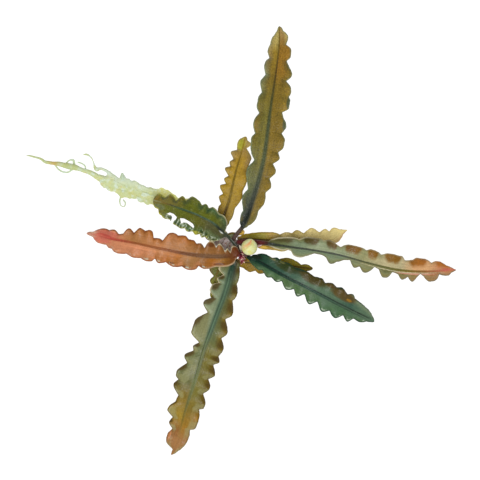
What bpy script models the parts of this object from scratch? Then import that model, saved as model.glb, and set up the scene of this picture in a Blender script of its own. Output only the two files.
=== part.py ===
"""A bucephalandra, a small aquarium plant, taken up bare-rooted and laid on a flat surface.

A creeping rhizome lies on the surface. Eleven ruffled leaves fan out from it in all directions,
a closed flower bud stands over the crown, and the roots trail away to the left (-X).
X is right, Y is up in the view from above, and Z is up off the surface. The origin is on the flat
underside of the rhizome, below the crown.
"""
import math

import bmesh
import bpy
import numpy as np
from mathutils import Matrix, Vector

for old in list(bpy.data.objects):
    bpy.data.objects.remove(old, do_unlink=True)

# Lengths below are in millimetres until a mesh is made.
MM = 0.001

# Leaves. The blade thins towards the tip over one length, and the keel below the midrib fades over
# another. The petiole flattens into the blade over the start length, and widens faster than that.
BLADE_THICKNESS = 0.8
TIP_THICKNESS = 0.4
TIP_LENGTH = 8.0
KEEL_DEPTH = 0.35
KEEL_SHARE = 0.1
KEEL_FADE_LENGTH = 12.0
BLADE_START_LENGTH = 3.0
WIDENING = 3.0
NARROWEST_REACH = 0.2
# The margin ruffles in full where the blade reaches this far out. The wave rises with this power
# of the way out to the margin, and its high point lags the crest of the lobe by this much of a turn.
FULL_RUFFLE_REACH = 3.0
RUFFLE_POWER = 2.5
RUFFLE_LAG = 0.12
# A section of the blade is a flattened ellipse: 1 is a true ellipse, and less is squarer.
SECTION_POWER = 0.4
STEEPEST_LEAN = 2.0
SIDES_OF_A_LEAF = 8
WIDEST_STATION_GAP = 2.4
NARROWEST_STATION_GAP = 0.5
POINTS_ALONG_A_MIDRIB = 400

# A midrib is a list of places (x, y, z) from the petiole's foot to the tip. The left and right
# edges are lists of (distance along the midrib, reach of the blade to that side), at the crests
# and the notches of its lobes. Lift is how steeply each half rises from the midrib, and ruffle is
# the height of the waves in the margin. The solid starts at the distance start, clear of the rest.
LEAVES = {
    "leaf_top_long": {
        "midrib": (
            (-3.0, 1.7, 6.0), (-1.3, 4.3, 7.6), (1.0, 7.2, 9.4), (4.0, 16.0, 11.8), (7.5, 29.3, 13.0),
            (9.5, 42.7, 11.5), (11.7, 56.0, 7.5), (13.2, 68.7, 2.0), (13.2, 75.0, 0.1)),
        "left": (
            (6.0, 0.7), (10.5, 2.3), (12.0, 2.0), (16.5, 3.4), (19.2, 2.4), (25.5, 4.4), (29.2, 2.7),
            (31.8, 4.2), (36.6, 4.9), (38.3, 3.9), (41.3, 4.9), (43.3, 4.5), (45.0, 3.5), (47.5, 4.7),
            (50.3, 4.6), (52.0, 3.8), (55.5, 4.8), (58.2, 3.4), (61.0, 4.3), (62.7, 4.0), (64.0, 3.0),
            (66.5, 3.8), (69.0, 3.0), (70.3, 2.9), (72.0, 1.9), (73.4, 1.0), (75.2, 0.2)),
        "right": (
            (6.2, 0.7), (8.0, 1.5), (11.7, 3.1), (13.0, 3.0), (16.5, 4.3), (19.7, 3.7), (22.0, 4.9),
            (24.4, 3.7), (27.0, 5.2), (29.3, 3.7), (31.3, 5.5), (33.1, 4.7), (35.0, 6.2), (37.3, 6.3),
            (39.4, 5.0), (41.8, 6.2), (44.5, 4.9), (46.5, 4.1), (48.3, 6.1), (50.8, 6.1), (52.0, 5.4),
            (53.4, 5.9), (55.3, 5.4), (57.0, 3.8), (59.3, 5.4), (61.5, 4.2), (63.7, 3.0), (65.4, 4.2),
            (67.8, 3.9), (69.1, 2.3), (71.4, 2.9), (73.4, 1.4), (75.2, 0.1)),
        "petiole": 0.70, "start": 0.0, "lift": (0.10, 0.16), "ruffle": 0.7,
        "colour": (0.22, 0.19, 0.05),
    },
    "leaf_top_small": {
        "midrib": (
            (-6.3, 3.3, 5.9), (-6.2, 6.7, 6.3), (-5.7, 9.3, 6.8), (-3.8, 16.0, 7.5), (-1.2, 26.0, 7.0),
            (1.0, 33.3, 5.0), (2.0, 37.3, 3.2)),
        "left": (
            (5.0, 0.7), (7.5, 2.0), (9.8, 2.6), (11.1, 2.1), (13.2, 3.4), (14.6, 2.4), (17.0, 4.0),
            (18.1, 2.3), (19.5, 3.2), (20.8, 2.1), (22.9, 3.8), (24.0, 2.4), (25.2, 2.9), (26.5, 2.0),
            (28.6, 3.5), (29.9, 1.8), (32.0, 2.2), (33.2, 2.0), (34.2, 1.2), (35.0, 0.2)),
        "right": (
            (2.6, 0.7), (4.6, 1.9), (6.4, 2.4), (8.5, 2.9), (11.0, 2.9), (15.2, 4.2), (17.0, 3.8), (20.0, 4.4),
            (24.0, 3.4), (28.2, 3.7), (31.2, 1.3), (32.9, 2.4), (33.8, 0.9), (35.0, 0.2)),
        "petiole": 0.65, "start": 0.0, "lift": (0.12, 0.08), "ruffle": 0.55,
        "colour": (0.36, 0.22, 0.04),
    },
    "leaf_curled_dark": {
        "midrib": (
            (-0.7, -0.3, 6.3), (-3.3, 3.0, 9.8), (-5.7, 5.5, 13.0), (-7.7, 7.2, 15.4),
            (-13.3, 10.2, 16.6), (-20.0, 13.1, 13.8), (-25.0, 14.9, 10.2), (-29.0, 16.0, 7.0)),
        "left": (
            (6.2, 0.8), (7.2, 3.0), (8.4, 4.4), (10.0, 4.9), (11.6, 4.6), (13.2, 5.6), (14.3, 4.9),
            (15.6, 5.9), (16.8, 5.3), (18.6, 6.1), (19.8, 5.5), (21.4, 6.0), (23.0, 5.7), (24.6, 5.4),
            (26.0, 4.6), (27.6, 4.9), (29.0, 4.3), (30.3, 3.7), (30.9, 2.5), (32.2, 2.2), (33.4, 0.6)),
        "right": (
            (7.3, 0.8), (8.0, 2.3), (9.2, 3.7), (10.7, 4.3), (11.6, 4.0), (14.1, 5.0), (15.2, 4.0),
            (16.7, 4.9), (17.7, 4.0), (19.5, 5.0), (21.5, 5.3), (23.0, 3.4), (24.5, 4.3), (26.0, 2.3),
            (28.2, 3.5), (29.8, 2.1), (32.0, 2.6), (32.9, 1.6), (33.4, 0.6)),
        "petiole": 0.50, "start": 0.0, "lift": (-0.38, -0.22), "ruffle": 0.75,
        "colour": (0.09, 0.11, 0.02),
    },
    "leaf_left_copper": {
        "midrib": (
            (1.3, -2.7, 5.2), (-0.3, -1.8, 7.5), (-3.3, -2.2, 8.9), (-10.0, -2.4, 10.8),
            (-16.7, -1.7, 12.2), (-26.7, 0.1, 12.5), (-36.7, 2.0, 9.5), (-43.3, 3.2, 6.0),
            (-49.7, 4.7, 1.5), (-51.5, 5.0, 0.1)),
        "left": (
            (2.2, 0.8), (3.6, 1.7), (5.3, 3.6), (7.0, 3.9), (9.6, 3.8), (13.0, 4.7), (14.9, 3.9),
            (15.8, 5.1), (18.1, 5.6), (20.3, 4.8), (22.7, 5.4), (25.6, 4.4), (28.0, 5.1), (29.4, 3.9),
            (30.4, 4.9), (32.2, 5.2), (34.0, 4.6), (36.5, 4.9), (39.0, 4.1), (41.5, 4.5), (43.0, 4.2),
            (44.2, 3.3), (45.2, 3.2), (46.3, 2.4), (48.5, 2.5), (50.0, 2.0), (51.2, 1.0), (53.6, 0.2)),
        "right": (
            (1.6, 0.8), (3.3, 2.7), (4.7, 0.9), (5.7, 2.1), (6.5, 1.2), (7.4, 3.1), (8.6, 3.9),
            (9.5, 2.8), (10.6, 4.5), (11.5, 4.8), (12.5, 4.2), (13.6, 2.4), (15.0, 3.7), (16.5, 3.5),
            (17.7, 4.5), (19.2, 4.5), (20.8, 5.5), (23.2, 5.2), (24.7, 5.8), (26.0, 5.5), (28.0, 2.6),
            (29.3, 3.1), (31.0, 2.8), (31.9, 4.9), (32.8, 5.2), (34.3, 4.6), (36.0, 5.3), (37.8, 3.4),
            (39.6, 4.5), (41.3, 2.4), (42.7, 2.0), (44.6, 3.2), (46.4, 2.7), (47.6, 2.9), (49.5, 2.2),
            (51.2, 1.0), (53.6, 0.1)),
        "petiole": 0.65, "start": 1.0, "lift": (-0.12, 0.10), "ruffle": 0.6,
        "colour": (0.42, 0.16, 0.06),
    },
    "leaf_bottom_long": {
        "midrib": (
            (-1.3, -1.0, 5.5), (-1.7, -3.3, 5.2), (-3.0, -7.0, 5.5), (-5.0, -14.0, 7.3),
            (-8.7, -24.0, 9.8), (-12.2, -34.0, 11.0), (-15.0, -44.0, 10.0), (-18.3, -54.0, 6.8),
            (-20.8, -63.3, 2.6), (-23.0, -69.2, 0.1)),
        "left": (
            (3.0, 0.8), (4.6, 2.2), (9.0, 3.5), (10.5, 3.3), (13.5, 4.3), (14.9, 4.2), (16.0, 3.6),
            (20.2, 5.2), (22.6, 3.6), (26.9, 5.7), (29.0, 4.5), (32.5, 6.3), (35.2, 5.5), (37.2, 6.3),
            (38.6, 4.6), (41.9, 6.0), (43.6, 4.2), (46.0, 5.6), (48.6, 4.1), (51.7, 5.9), (53.3, 5.7),
            (54.1, 4.5), (57.3, 5.3), (61.2, 4.7), (61.9, 3.3), (63.7, 3.6), (66.5, 3.2), (69.3, 1.8),
            (71.0, 0.7), (71.6, 0.2)),
        "right": (
            (3.4, 0.8), (5.0, 2.2), (7.2, 4.0), (8.8, 2.0), (10.5, 3.6), (11.7, 2.8), (13.0, 4.6),
            (14.8, 4.9), (17.0, 3.0), (19.8, 5.4), (22.5, 2.9), (26.5, 5.9), (30.2, 5.8), (32.8, 2.2),
            (34.4, 3.6), (35.8, 3.2), (38.0, 5.6), (40.2, 4.1), (44.0, 6.7), (45.3, 6.6), (46.6, 5.4),
            (48.5, 6.4), (51.8, 3.7), (54.0, 4.0), (56.9, 5.8), (59.0, 3.4), (60.8, 4.2), (62.9, 2.7),
            (65.5, 3.7), (67.8, 3.2), (68.9, 1.8), (69.6, 0.3), (71.6, 0.2)),
        "petiole": 0.65, "start": 1.1, "lift": (-0.10, 0.08), "ruffle": 0.75,
        "colour": (0.20, 0.19, 0.08),
    },
    "leaf_right_dark": {
        "midrib": (
            (1.0, -1.7, 5.3), (2.7, -3.0, 6.6), (6.0, -4.5, 8.4), (13.3, -8.7, 11.0), (23.3, -13.8, 12.0),
            (33.3, -19.0, 8.3), (40.0, -22.3, 3.9), (45.0, -24.7, 0.1)),
        "left": (
            (2.2, 0.7), (4.6, 2.0), (7.3, 3.4), (9.2, 3.4), (10.6, 4.3), (12.6, 4.1), (15.0, 4.6),
            (17.4, 4.3), (19.6, 4.8), (22.2, 4.9), (24.6, 4.5), (27.3, 5.1), (28.8, 4.3), (31.0, 5.3),
            (32.9, 4.8), (34.6, 5.5), (37.3, 4.4), (38.9, 5.2), (40.3, 4.2), (42.0, 3.9), (44.5, 3.2),
            (46.5, 2.6), (47.8, 1.7), (49.6, 0.2)),
        "right": (
            (2.2, 0.7), (3.5, 1.2), (5.2, 2.0), (7.3, 2.4), (8.3, 1.8), (11.0, 3.1), (12.3, 2.4),
            (14.3, 2.9), (15.8, 1.8), (18.3, 3.6), (20.5, 2.4), (22.5, 4.0), (24.4, 2.3), (27.2, 4.5),
            (29.4, 2.5), (32.3, 4.7), (34.4, 3.3), (36.9, 4.7), (39.2, 2.7), (41.2, 3.9), (42.8, 2.1),
            (44.8, 2.3), (47.0, 1.2), (49.6, 0.1)),
        "petiole": 0.65, "start": 1.7, "lift": (0.05, -0.18), "ruffle": 0.6,
        "colour": (0.06, 0.12, 0.08),
    },
    "leaf_right_long": {
        "midrib": (
            (-1.7, 2.0, 5.6), (3.3, 2.2, 7.7), (9.3, 1.5, 10.2), (16.7, 0.3, 12.8), (23.3, -0.6, 14.4),
            (33.3, -2.5, 15.2), (43.3, -5.3, 13.8), (53.3, -7.4, 10.3), (63.3, -7.8, 5.2),
            (72.3, -7.3, 0.1)),
        "left": (
            (10.6, 0.7), (13.0, 2.0), (15.5, 2.8), (19.5, 3.4), (21.3, 3.1), (24.0, 4.2), (27.8, 4.2),
            (29.0, 3.8), (30.7, 4.3), (32.6, 3.7), (34.8, 2.8), (36.3, 3.9), (38.5, 4.4), (41.9, 4.5),
            (43.0, 4.1), (45.0, 4.8), (47.0, 4.6), (48.5, 3.9), (51.0, 4.9), (52.5, 5.0), (54.1, 4.4),
            (56.0, 4.7), (57.2, 3.5), (60.0, 3.8), (61.4, 4.5), (64.9, 4.0), (66.6, 2.9), (68.6, 3.4),
            (70.3, 3.0), (71.5, 2.0), (73.2, 1.5), (75.0, 0.2)),
        "right": (
            (10.6, 0.7), (12.5, 1.0), (16.0, 1.5), (17.6, 1.0), (19.0, 1.3), (20.4, 2.8), (21.7, 3.0),
            (24.0, 2.3), (26.9, 1.0), (29.5, 1.1), (31.0, 1.8), (32.8, 3.4), (34.5, 2.4), (36.8, 1.2),
            (38.8, 0.7), (40.0, 2.0), (40.9, 2.7), (42.5, 1.8), (44.5, 3.3), (46.0, 2.5), (47.4, 0.7),
            (49.0, 1.2), (51.0, 3.4), (52.5, 2.9), (53.5, 1.0), (55.5, 1.5), (57.0, 3.1), (58.7, 2.1),
            (60.2, 3.5), (61.6, 2.1), (62.8, 0.9), (64.0, 1.8), (66.2, 3.5), (68.3, 2.8), (69.2, 1.2),
            (70.5, 1.6), (72.5, 1.9), (73.8, 1.2), (75.0, 0.2)),
        "petiole": 0.70, "start": 0.9, "lift": (0.08, -0.85), "ruffle": 0.6,
        "colour": (0.23, 0.25, 0.12),
    },
    "leaf_right_tan": {
        "midrib": (
            (-1.0, 3.3, 4.6), (0.7, 3.1, 4.8), (6.7, 2.8, 5.6), (15.0, 2.5, 6.6), (23.3, 3.2, 6.5),
            (30.0, 4.3, 4.6), (35.7, 5.8, 2.2)),
        "left": (
            (1.0, 0.5), (3.4, 1.3), (6.0, 2.1), (9.0, 2.6), (12.0, 2.7), (14.3, 2.1), (16.6, 2.8),
            (18.5, 2.4), (20.2, 3.3), (22.5, 2.0), (25.2, 3.4), (27.9, 1.6), (29.9, 2.4), (31.2, 1.3),
            (32.5, 2.1), (34.2, 0.9), (35.3, 1.1), (36.6, 0.2)),
        "right": (
            (1.0, 0.5), (3.5, 0.7), (7.0, 2.6), (9.5, 3.2), (13.0, 3.3), (15.3, 3.7), (17.5, 2.9),
            (20.0, 3.6), (23.0, 2.8), (26.0, 3.6), (29.0, 2.7), (32.6, 3.0), (34.6, 2.3), (36.0, 1.0),
            (36.7, 0.2)),
        "petiole": 0.50, "start": 0.0, "lift": (0.10, -0.05), "ruffle": 0.5,
        "colour": (0.46, 0.30, 0.08),
    },
    "leaf_right_small": {
        "midrib": (
            (-1.6, -3.9, 3.0), (0.4, -4.5, 3.5), (4.0, -5.0, 4.2), (10.0, -5.8, 4.6), (16.7, -6.0, 4.2),
            (24.3, -6.9, 2.6)),
        "left": (
            (0.8, 0.5), (5.1, 1.6), (9.1, 2.2), (12.1, 2.6), (14.4, 2.2), (17.3, 2.7), (19.7, 2.1),
            (22.1, 0.9), (23.7, 1.2), (25.1, 0.8), (26.2, 0.2)),
        "right": (
            (0.8, 0.5), (1.8, 1.8), (3.2, 2.0), (5.2, 3.1), (7.2, 2.4), (8.7, 3.3), (10.9, 2.4),
            (13.6, 2.9), (16.1, 2.2), (18.7, 2.6), (21.1, 1.7), (23.6, 1.3), (26.2, 0.2)),
        "petiole": 0.50, "start": 0.0, "lift": (0.05, -0.12), "ruffle": 0.4,
        "colour": (0.22, 0.15, 0.03),
    },
    "leaf_bottom_small": {
        "midrib": (
            (-2.3, -2.3, 2.8), (-5.3, -4.7, 3.2), (-7.5, -8.0, 3.4), (-8.5, -12.3, 3.0),
            (-9.3, -17.0, 2.0)),
        "left": (
            (2.0, 0.5), (5.0, 2.0), (8.0, 2.4), (9.5, 1.9), (11.5, 2.3), (13.0, 1.7), (15.0, 1.6),
            (17.0, 0.2)),
        "right": (
            (2.0, 0.5), (5.0, 2.0), (7.8, 3.0), (9.4, 0.8), (11.0, 1.8), (12.6, 0.7), (14.0, 0.6),
            (15.5, 1.0), (17.0, 0.2)),
        "petiole": 0.45, "start": 1.2, "lift": (0.0, 0.05), "ruffle": 0.3,
        "colour": (0.26, 0.20, 0.03),
    },
    "leaf_young": {
        "midrib": ((-4.8, 4.2, 4.7), (-3.0, 4.7, 5.1), (-1.0, 4.7, 5.6), (1.5, 5.7, 6.5)),
        "left": ((1.0, 0.4), (2.5, 0.6), (4.9, 0.6), (6.0, 0.7), (6.6, 0.2)),
        "right": ((1.0, 0.4), (2.5, 0.6), (4.3, 0.7), (5.9, 0.9), (6.6, 0.2)),
        "petiole": 0.40, "start": 0.0, "lift": (0.1, 0.1), "ruffle": 0.0,
        "colour": (0.55, 0.40, 0.10),
    },
}

# The two torn gaps in the margin of the dark curled leaf, as outlines seen from above (x, y).
TORN_SLIT = (
    (-19.9, 9.9), (-18.6, 9.8), (-16.9, 8.9), (-15.6, 8.0), (-15.2, 7.1), (-15.5, 6.6), (-16.4, 7.4),
    (-17.7, 8.4), (-18.8, 8.5), (-19.5, 8.1))
TORN_NOTCH = (
    (-24.3, 11.4), (-23.3, 11.8), (-22.0, 11.3), (-21.0, 10.3), (-21.2, 9.6), (-22.0, 9.0),
    (-22.6, 7.4), (-23.6, 7.6), (-22.8, 9.3), (-22.5, 10.3), (-22.9, 10.9), (-23.6, 11.0))
TEAR_BOTTOM = 3.0
TEAR_TOP = 24.0

# The rhizome: its centre line with the radius at each place. It is flat where it rests, and has
# a ring-shaped scar at every spacing.
RHIZOME = (
    (-12.4, 4.3, 1.5, 1.2), (-10.8, 3.6, 1.8, 2.1), (-7.0, 2.2, 2.15, 2.65), (-3.0, 0.7, 2.2, 2.75),
    (0.3, -0.5, 2.2, 2.75), (2.1, -1.2, 3.2, 2.3), (3.0, -1.5, 4.1, 1.4))
RHIZOME_SIDES = 12
RHIZOME_RING_SPACING = 0.7
SCAR_DEPTH = 0.12
SCAR_SPACING = 2.1

# The roots: centre lines with the radius at each place. They lie on the surface.
ROOTS = {
    "root_long": (
        (-12.6, 5.9, 1.3, 0.55), (-12.7, 8.4, 0.9, 0.7), (-14.7, 11.4, 0.8, 0.7),
        (-18.4, 13.4, 0.8, 0.7), (-22.2, 14.7, 0.8, 0.8),
        (-26.7, 16.4, 0.9, 0.9), (-31.7, 18.0, 0.9, 0.8), (-36.7, 19.7, 0.9, 0.9),
        (-41.7, 21.6, 0.9, 0.8), (-45.7, 23.0, 1.0, 0.9), (-48.3, 24.3, 1.1, 1.0),
        (-51.7, 25.9, 1.0, 1.0), (-55.3, 27.0, 1.1, 1.1), (-59.0, 27.7, 1.1, 1.0),
        (-62.7, 28.5, 0.9, 0.6), (-65.3, 29.0, 0.6, 0.5), (-67.3, 30.0, 0.4, 0.35),
        (-70.0, 30.7, 0.3, 0.3), (-71.8, 30.9, 0.25, 0.2)),
    "root_upper": (
        (-11.2, 6.2, 1.5, 0.5), (-11.0, 9.0, 0.9, 0.6), (-12.9, 13.0, 0.7, 0.6),
        (-16.9, 15.1, 0.7, 0.6), (-21.3, 16.4, 0.7, 0.6),
        (-25.7, 18.7, 0.7, 0.7), (-30.0, 19.8, 0.8, 0.7), (-33.7, 20.9, 0.8, 0.7),
        (-37.3, 22.5, 0.8, 0.7), (-40.7, 23.4, 0.8, 0.7), (-43.0, 24.8, 0.8, 0.7),
        (-45.3, 26.1, 0.7, 0.6), (-47.6, 26.8, 0.6, 0.5), (-48.9, 28.4, 0.35, 0.3),
        (-49.8, 30.3, 0.3, 0.25), (-51.1, 31.2, 0.3, 0.3), (-52.8, 31.2, 0.25, 0.2)),
    "root_lower": (
        (-13.8, 4.0, 1.2, 0.5), (-14.3, 6.4, 0.8, 0.6), (-15.0, 9.1, 0.7, 0.6),
        (-17.6, 11.1, 0.7, 0.6), (-20.4, 12.2, 0.7, 0.6), (-23.2, 13.2, 0.7, 0.6),
        (-26.7, 14.5, 0.7, 0.6), (-30.0, 15.6, 0.7, 0.7),
        (-33.3, 16.4, 0.7, 0.7), (-36.7, 17.7, 0.8, 0.7), (-39.4, 18.1, 0.8, 0.7),
        (-42.7, 19.8, 0.7, 0.6), (-44.7, 20.9, 0.6, 0.5), (-46.4, 21.5, 0.4, 0.3)),
    "root_flap": (
        (-38.1, 24.0, 0.4, 0.3), (-38.9, 24.6, 0.6, 0.5), (-39.4, 25.3, 0.4, 0.2)),
    "root_hanging": (
        (-39.8, 17.0, 0.4, 0.25), (-40.2, 15.4, 0.25, 0.22), (-39.7, 13.9, 0.22, 0.2),
        (-38.7, 13.8, 0.22, 0.2), (-38.3, 15.1, 0.22, 0.2), (-38.9, 16.3, 0.22, 0.2)),
    "root_arc_low": (
        (-62.0, 27.2, 0.3, 0.25), (-60.4, 25.9, 0.25, 0.22), (-58.4, 25.3, 0.22, 0.2),
        (-56.4, 25.4, 0.22, 0.2)),
    "root_arc_high": (
        (-58.6, 29.2, 0.3, 0.25), (-57.0, 29.7, 0.3, 0.3), (-55.6, 29.7, 0.35, 0.3),
        (-54.6, 28.6, 0.3, 0.2)),
    "root_curl": (
        (-53.8, 28.5, 0.25, 0.2), (-52.6, 28.3, 0.22, 0.2), (-51.4, 27.4, 0.3, 0.2)),
}
ROOT_SIDES = 7
ROOT_RING_SPACING = 1.6

# The flower bud, nearly a ball, with its short point leaning towards +Y. Its tip end narrows a
# little and draws out to the point. Its stalk, hidden under it, is a list of places with a radius.
BUD_CENTRE = (3.1, 0.3, 12.3)
BUD_RADIUS = 2.6
BUD_LENGTH = 5.3
BUD_AXIS = (0.22, 0.93, 0.35)
BUD_SEGMENTS = 18
BUD_RINGS = 12
BUD_NARROWING = 0.07
BUD_POINT = 0.09
STALK = (
    (2.3, -0.6, 5.9, 0.5), (2.3, -0.9, 7.2, 0.45), (2.4, -1.2, 8.4, 0.45), (2.6, -1.3, 9.3, 0.45))
STALK_SIDES = 8
SMALL_ROD_RING_SPACING = 0.8

# Small sheath scales round the crown, as places with a radius. The lower one is the withered bract
# that hangs from the bud's stalk.
SHEATHS = {
    "sheath_left": ((0.9, -1.0, 5.8, 0.35), (0.7, 0.1, 7.2, 0.45), (0.4, 0.9, 8.0, 0.15)),
    "sheath_right": ((3.6, -0.6, 5.6, 0.40), (5.3, 0.4, 7.0, 0.50), (7.3, 1.0, 7.4, 0.15)),
    "sheath_lower": (
        (1.2, -1.0, 8.0, 0.32), (0.8, -2.3, 8.7, 0.65), (1.1, -3.7, 7.7, 0.75), (1.6, -5.1, 6.3, 0.25)),
}
SHEATH_SIDES = 7

SHARP_ANGLE = math.radians(50)
LEAF_ROUGHNESS = 0.45


def smoothstep(value):
    """0 below 0, 1 above 1, and a soft rise between."""
    value = min(max(value, 0.0), 1.0)
    return value * value * (3.0 - 2.0 * value)


def stations(form):
    """Distances along a midrib: the crests and notches of both edges, and places between them."""
    marks = sorted({form["start"]} | {point[0] for point in form["left"] + form["right"]})
    kept = [form["start"]]
    for mark in marks:
        gap = mark - kept[-1]
        if gap >= NARROWEST_STATION_GAP:
            parts = math.ceil(gap / WIDEST_STATION_GAP)
            kept += [kept[-1] + gap * k / parts for k in range(1, parts + 1)]
    kept[-1] = marks[-1]
    return np.array(kept)


def cubic(stops, knots, slopes, distances):
    """Values at these distances on the cubic curve through the knots with these slopes."""
    i = np.clip(np.searchsorted(stops, distances) - 1, 0, len(stops) - 2)
    shape = (-1,) + (1,) * (knots.ndim - 1)
    span = (stops[i + 1] - stops[i]).reshape(shape)
    t = np.clip((distances - stops[i]).reshape(shape) / span, 0.0, 1.0)
    return ((2 * t**3 - 3 * t**2 + 1) * knots[i] + (t**3 - 2 * t**2 + t) * span * slopes[i]
            + (3 * t**2 - 2 * t**3) * knots[i + 1] + (t**3 - t**2) * span * slopes[i + 1])


def travelled(rows):
    """The distance along a row of places, from the first to each."""
    steps = np.linalg.norm(np.diff(rows, axis=0), axis=1)
    return np.concatenate(([0.0], np.cumsum(steps)))


def midrib_at(places, distances):
    """Places and tangents at these distances, measured in plan, on a smooth curve."""
    knots = np.array(places, float)
    stops = travelled(knots[:, :2])
    fine = cubic(
        stops, knots, np.gradient(knots, stops, axis=0),
        np.linspace(0.0, stops[-1], POINTS_ALONG_A_MIDRIB))
    along = travelled(fine[:, :2])
    rows = np.stack([np.interp(distances, along, fine[:, k]) for k in range(3)], 1)
    return rows, np.gradient(rows, distances, axis=0)


def reach_at(edge, distances):
    """The blade's reach to one side: smooth through the crests and notches, level at each."""
    at = np.array([point[0] for point in edge])
    reach = np.array([point[1] for point in edge])
    rise = np.diff(reach) / np.diff(at)
    before, after = rise[:-1], rise[1:]
    same_way = before * after > 0
    inner = np.where(same_way, 2 * before * after / np.where(same_way, before + after, 1.0), 0.0)
    slopes = np.concatenate(([rise[0]], inner, [rise[-1]]))
    return cubic(at, reach, slopes, distances)


def wave_at(edge, distances):
    """The margin's wave, one to a lobe: low at a notch, high just past the lobe's crest."""
    notches = [edge[0][0]]
    for before, here, after in zip(edge, edge[1:], edge[2:]):
        if here[1] < before[1] and here[1] < after[1]:
            notches.append(here[0])
    notches.append(edge[-1][0])
    turns = np.interp(distances, notches, np.arange(len(notches)))
    return -np.cos(2 * math.pi * (turns - RUFFLE_LAG))


def unit_tube(sides, ring_count):
    """A closed round tube of these many sides and rings, with each vertex's ring and angle."""
    tube = bmesh.new()
    bmesh.ops.create_cone(
        tube, cap_ends=True, cap_tris=False, segments=sides, radius1=1.0, radius2=1.0, depth=1.0)
    long_edges = [e for e in tube.edges if abs(e.verts[0].co.z - e.verts[1].co.z) > 0.5]
    bmesh.ops.subdivide_edges(tube, edges=long_edges, cuts=ring_count - 2, use_grid_fill=True)
    rings = []
    for vertex in tube.verts:
        ring = round((vertex.co.z + 0.5) * (ring_count - 1))
        rings.append((vertex, ring, math.atan2(vertex.co.y, vertex.co.x)))
    return tube, rings


def material(name, colour, roughness):
    """A plain material of this colour and roughness."""
    made = bpy.data.materials.new(name)
    made.use_nodes = True
    shader = made.node_tree.nodes["Principled BSDF"]
    shader.inputs["Base Color"].default_value = (*colour, 1.0)
    shader.inputs["Roughness"].default_value = roughness
    shader.inputs["Metallic"].default_value = 0.0
    return made


def place(name, shape, finish):
    """Turns a bmesh into a smooth-shaded object of this name."""
    mesh = bpy.data.meshes.new(name)
    shape.to_mesh(mesh)
    shape.free()
    mesh.shade_smooth()
    mesh.set_sharp_from_angle(angle=SHARP_ANGLE)
    mesh.materials.append(finish)
    made = bpy.data.objects.new(name, mesh)
    bpy.context.scene.collection.objects.link(made)
    return made


def blade_width(petiole, reach, blade):
    """How far a section reaches to one side, from a round petiole to the full blade."""
    if blade == 0.0:
        return petiole
    return max(petiole + (reach - petiole) * smoothstep(blade * WIDENING), NARROWEST_REACH)


def half_thickness(petiole, blade, to_tip, across, over):
    """Height of a section's outline over its middle line: over is 1 on top and -1 below."""
    thin = TIP_THICKNESS + (BLADE_THICKNESS - TIP_THICKNESS) * smoothstep(to_tip / TIP_LENGTH)
    half = petiole + (0.5 * thin - petiole) * blade
    square = math.copysign(abs(over) ** SECTION_POWER, over)
    height = half * (over + (square - over) * blade)
    if abs(across) < KEEL_SHARE and over < 0:
        height -= KEEL_DEPTH * blade * smoothstep(to_tip / KEEL_FADE_LENGTH)
    return half, height


def leaf(name, form):
    """One leaf: a round petiole that widens into a ruffled blade with a keel below."""
    distances = stations(form)
    rows, tangents = midrib_at(form["midrib"], distances)
    reaches = [reach_at(form[side], distances) for side in ("left", "right")]
    waves = [wave_at(form[side], distances) for side in ("left", "right")]
    blade_start = min(form["left"][0][0], form["right"][0][0])
    tube, rings = unit_tube(SIDES_OF_A_LEAF, len(distances))
    for vertex, ring, angle in rings:
        across = math.sin(angle)
        side = 1 if across > 0 else 0
        forward = tangents[ring]
        run = math.hypot(forward[0], forward[1])
        to_right = Vector((forward[1] / run, -forward[0] / run, 0.0))
        lean = min(math.hypot(1.0, forward[2] / run), STEEPEST_LEAN)
        blade = smoothstep((distances[ring] - blade_start) / BLADE_START_LENGTH)
        width = blade_width(form["petiole"], reaches[side][ring], blade)
        flare = min(1.0, width / FULL_RUFFLE_REACH)
        rise = form["lift"][side] * width * abs(across)
        rise += form["ruffle"] * waves[side][ring] * flare * abs(across) ** RUFFLE_POWER
        to_tip = distances[-1] - distances[ring]
        half, height = half_thickness(form["petiole"], blade, to_tip, across, math.cos(angle))
        middle = max(rows[ring][2] + rise * blade, half * lean)
        spot = Vector((rows[ring][0], rows[ring][1], 0.0)) + to_right * across * width
        spot.z = max(middle + height * lean, 0.0)
        vertex.co = spot * MM
    return place(name, tube, material(name, form["colour"], LEAF_ROUGHNESS))


def rod(name, places, sides, spacing, finish, scars=0.0):
    """A round rod along a list of (x, y, z, radius), flattened where it would pass the surface."""
    knots = np.array(places, float)
    stops = travelled(knots[:, :3])
    distances = np.linspace(0.0, stops[-1], max(3, round(stops[-1] / spacing) + 1))
    rows = cubic(stops, knots, np.gradient(knots, stops, axis=0), distances)
    tangents = np.gradient(rows[:, :3], distances, axis=0)
    tube, rings = unit_tube(sides, len(distances))
    for vertex, ring, angle in rings:
        forward = Vector(tangents[ring]).normalized()
        to_right = forward.cross(Vector((0.0, 0.0, 1.0))).normalized()
        up = to_right.cross(forward)
        radius = rows[ring][3] + scars * math.cos(2 * math.pi * distances[ring] / SCAR_SPACING)
        spot = Vector(rows[ring][:3]) + (up * math.cos(angle) + to_right * math.sin(angle)) * radius
        spot.z = max(spot.z, 0.0)
        vertex.co = spot * MM
    return place(name, tube, finish)


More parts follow.
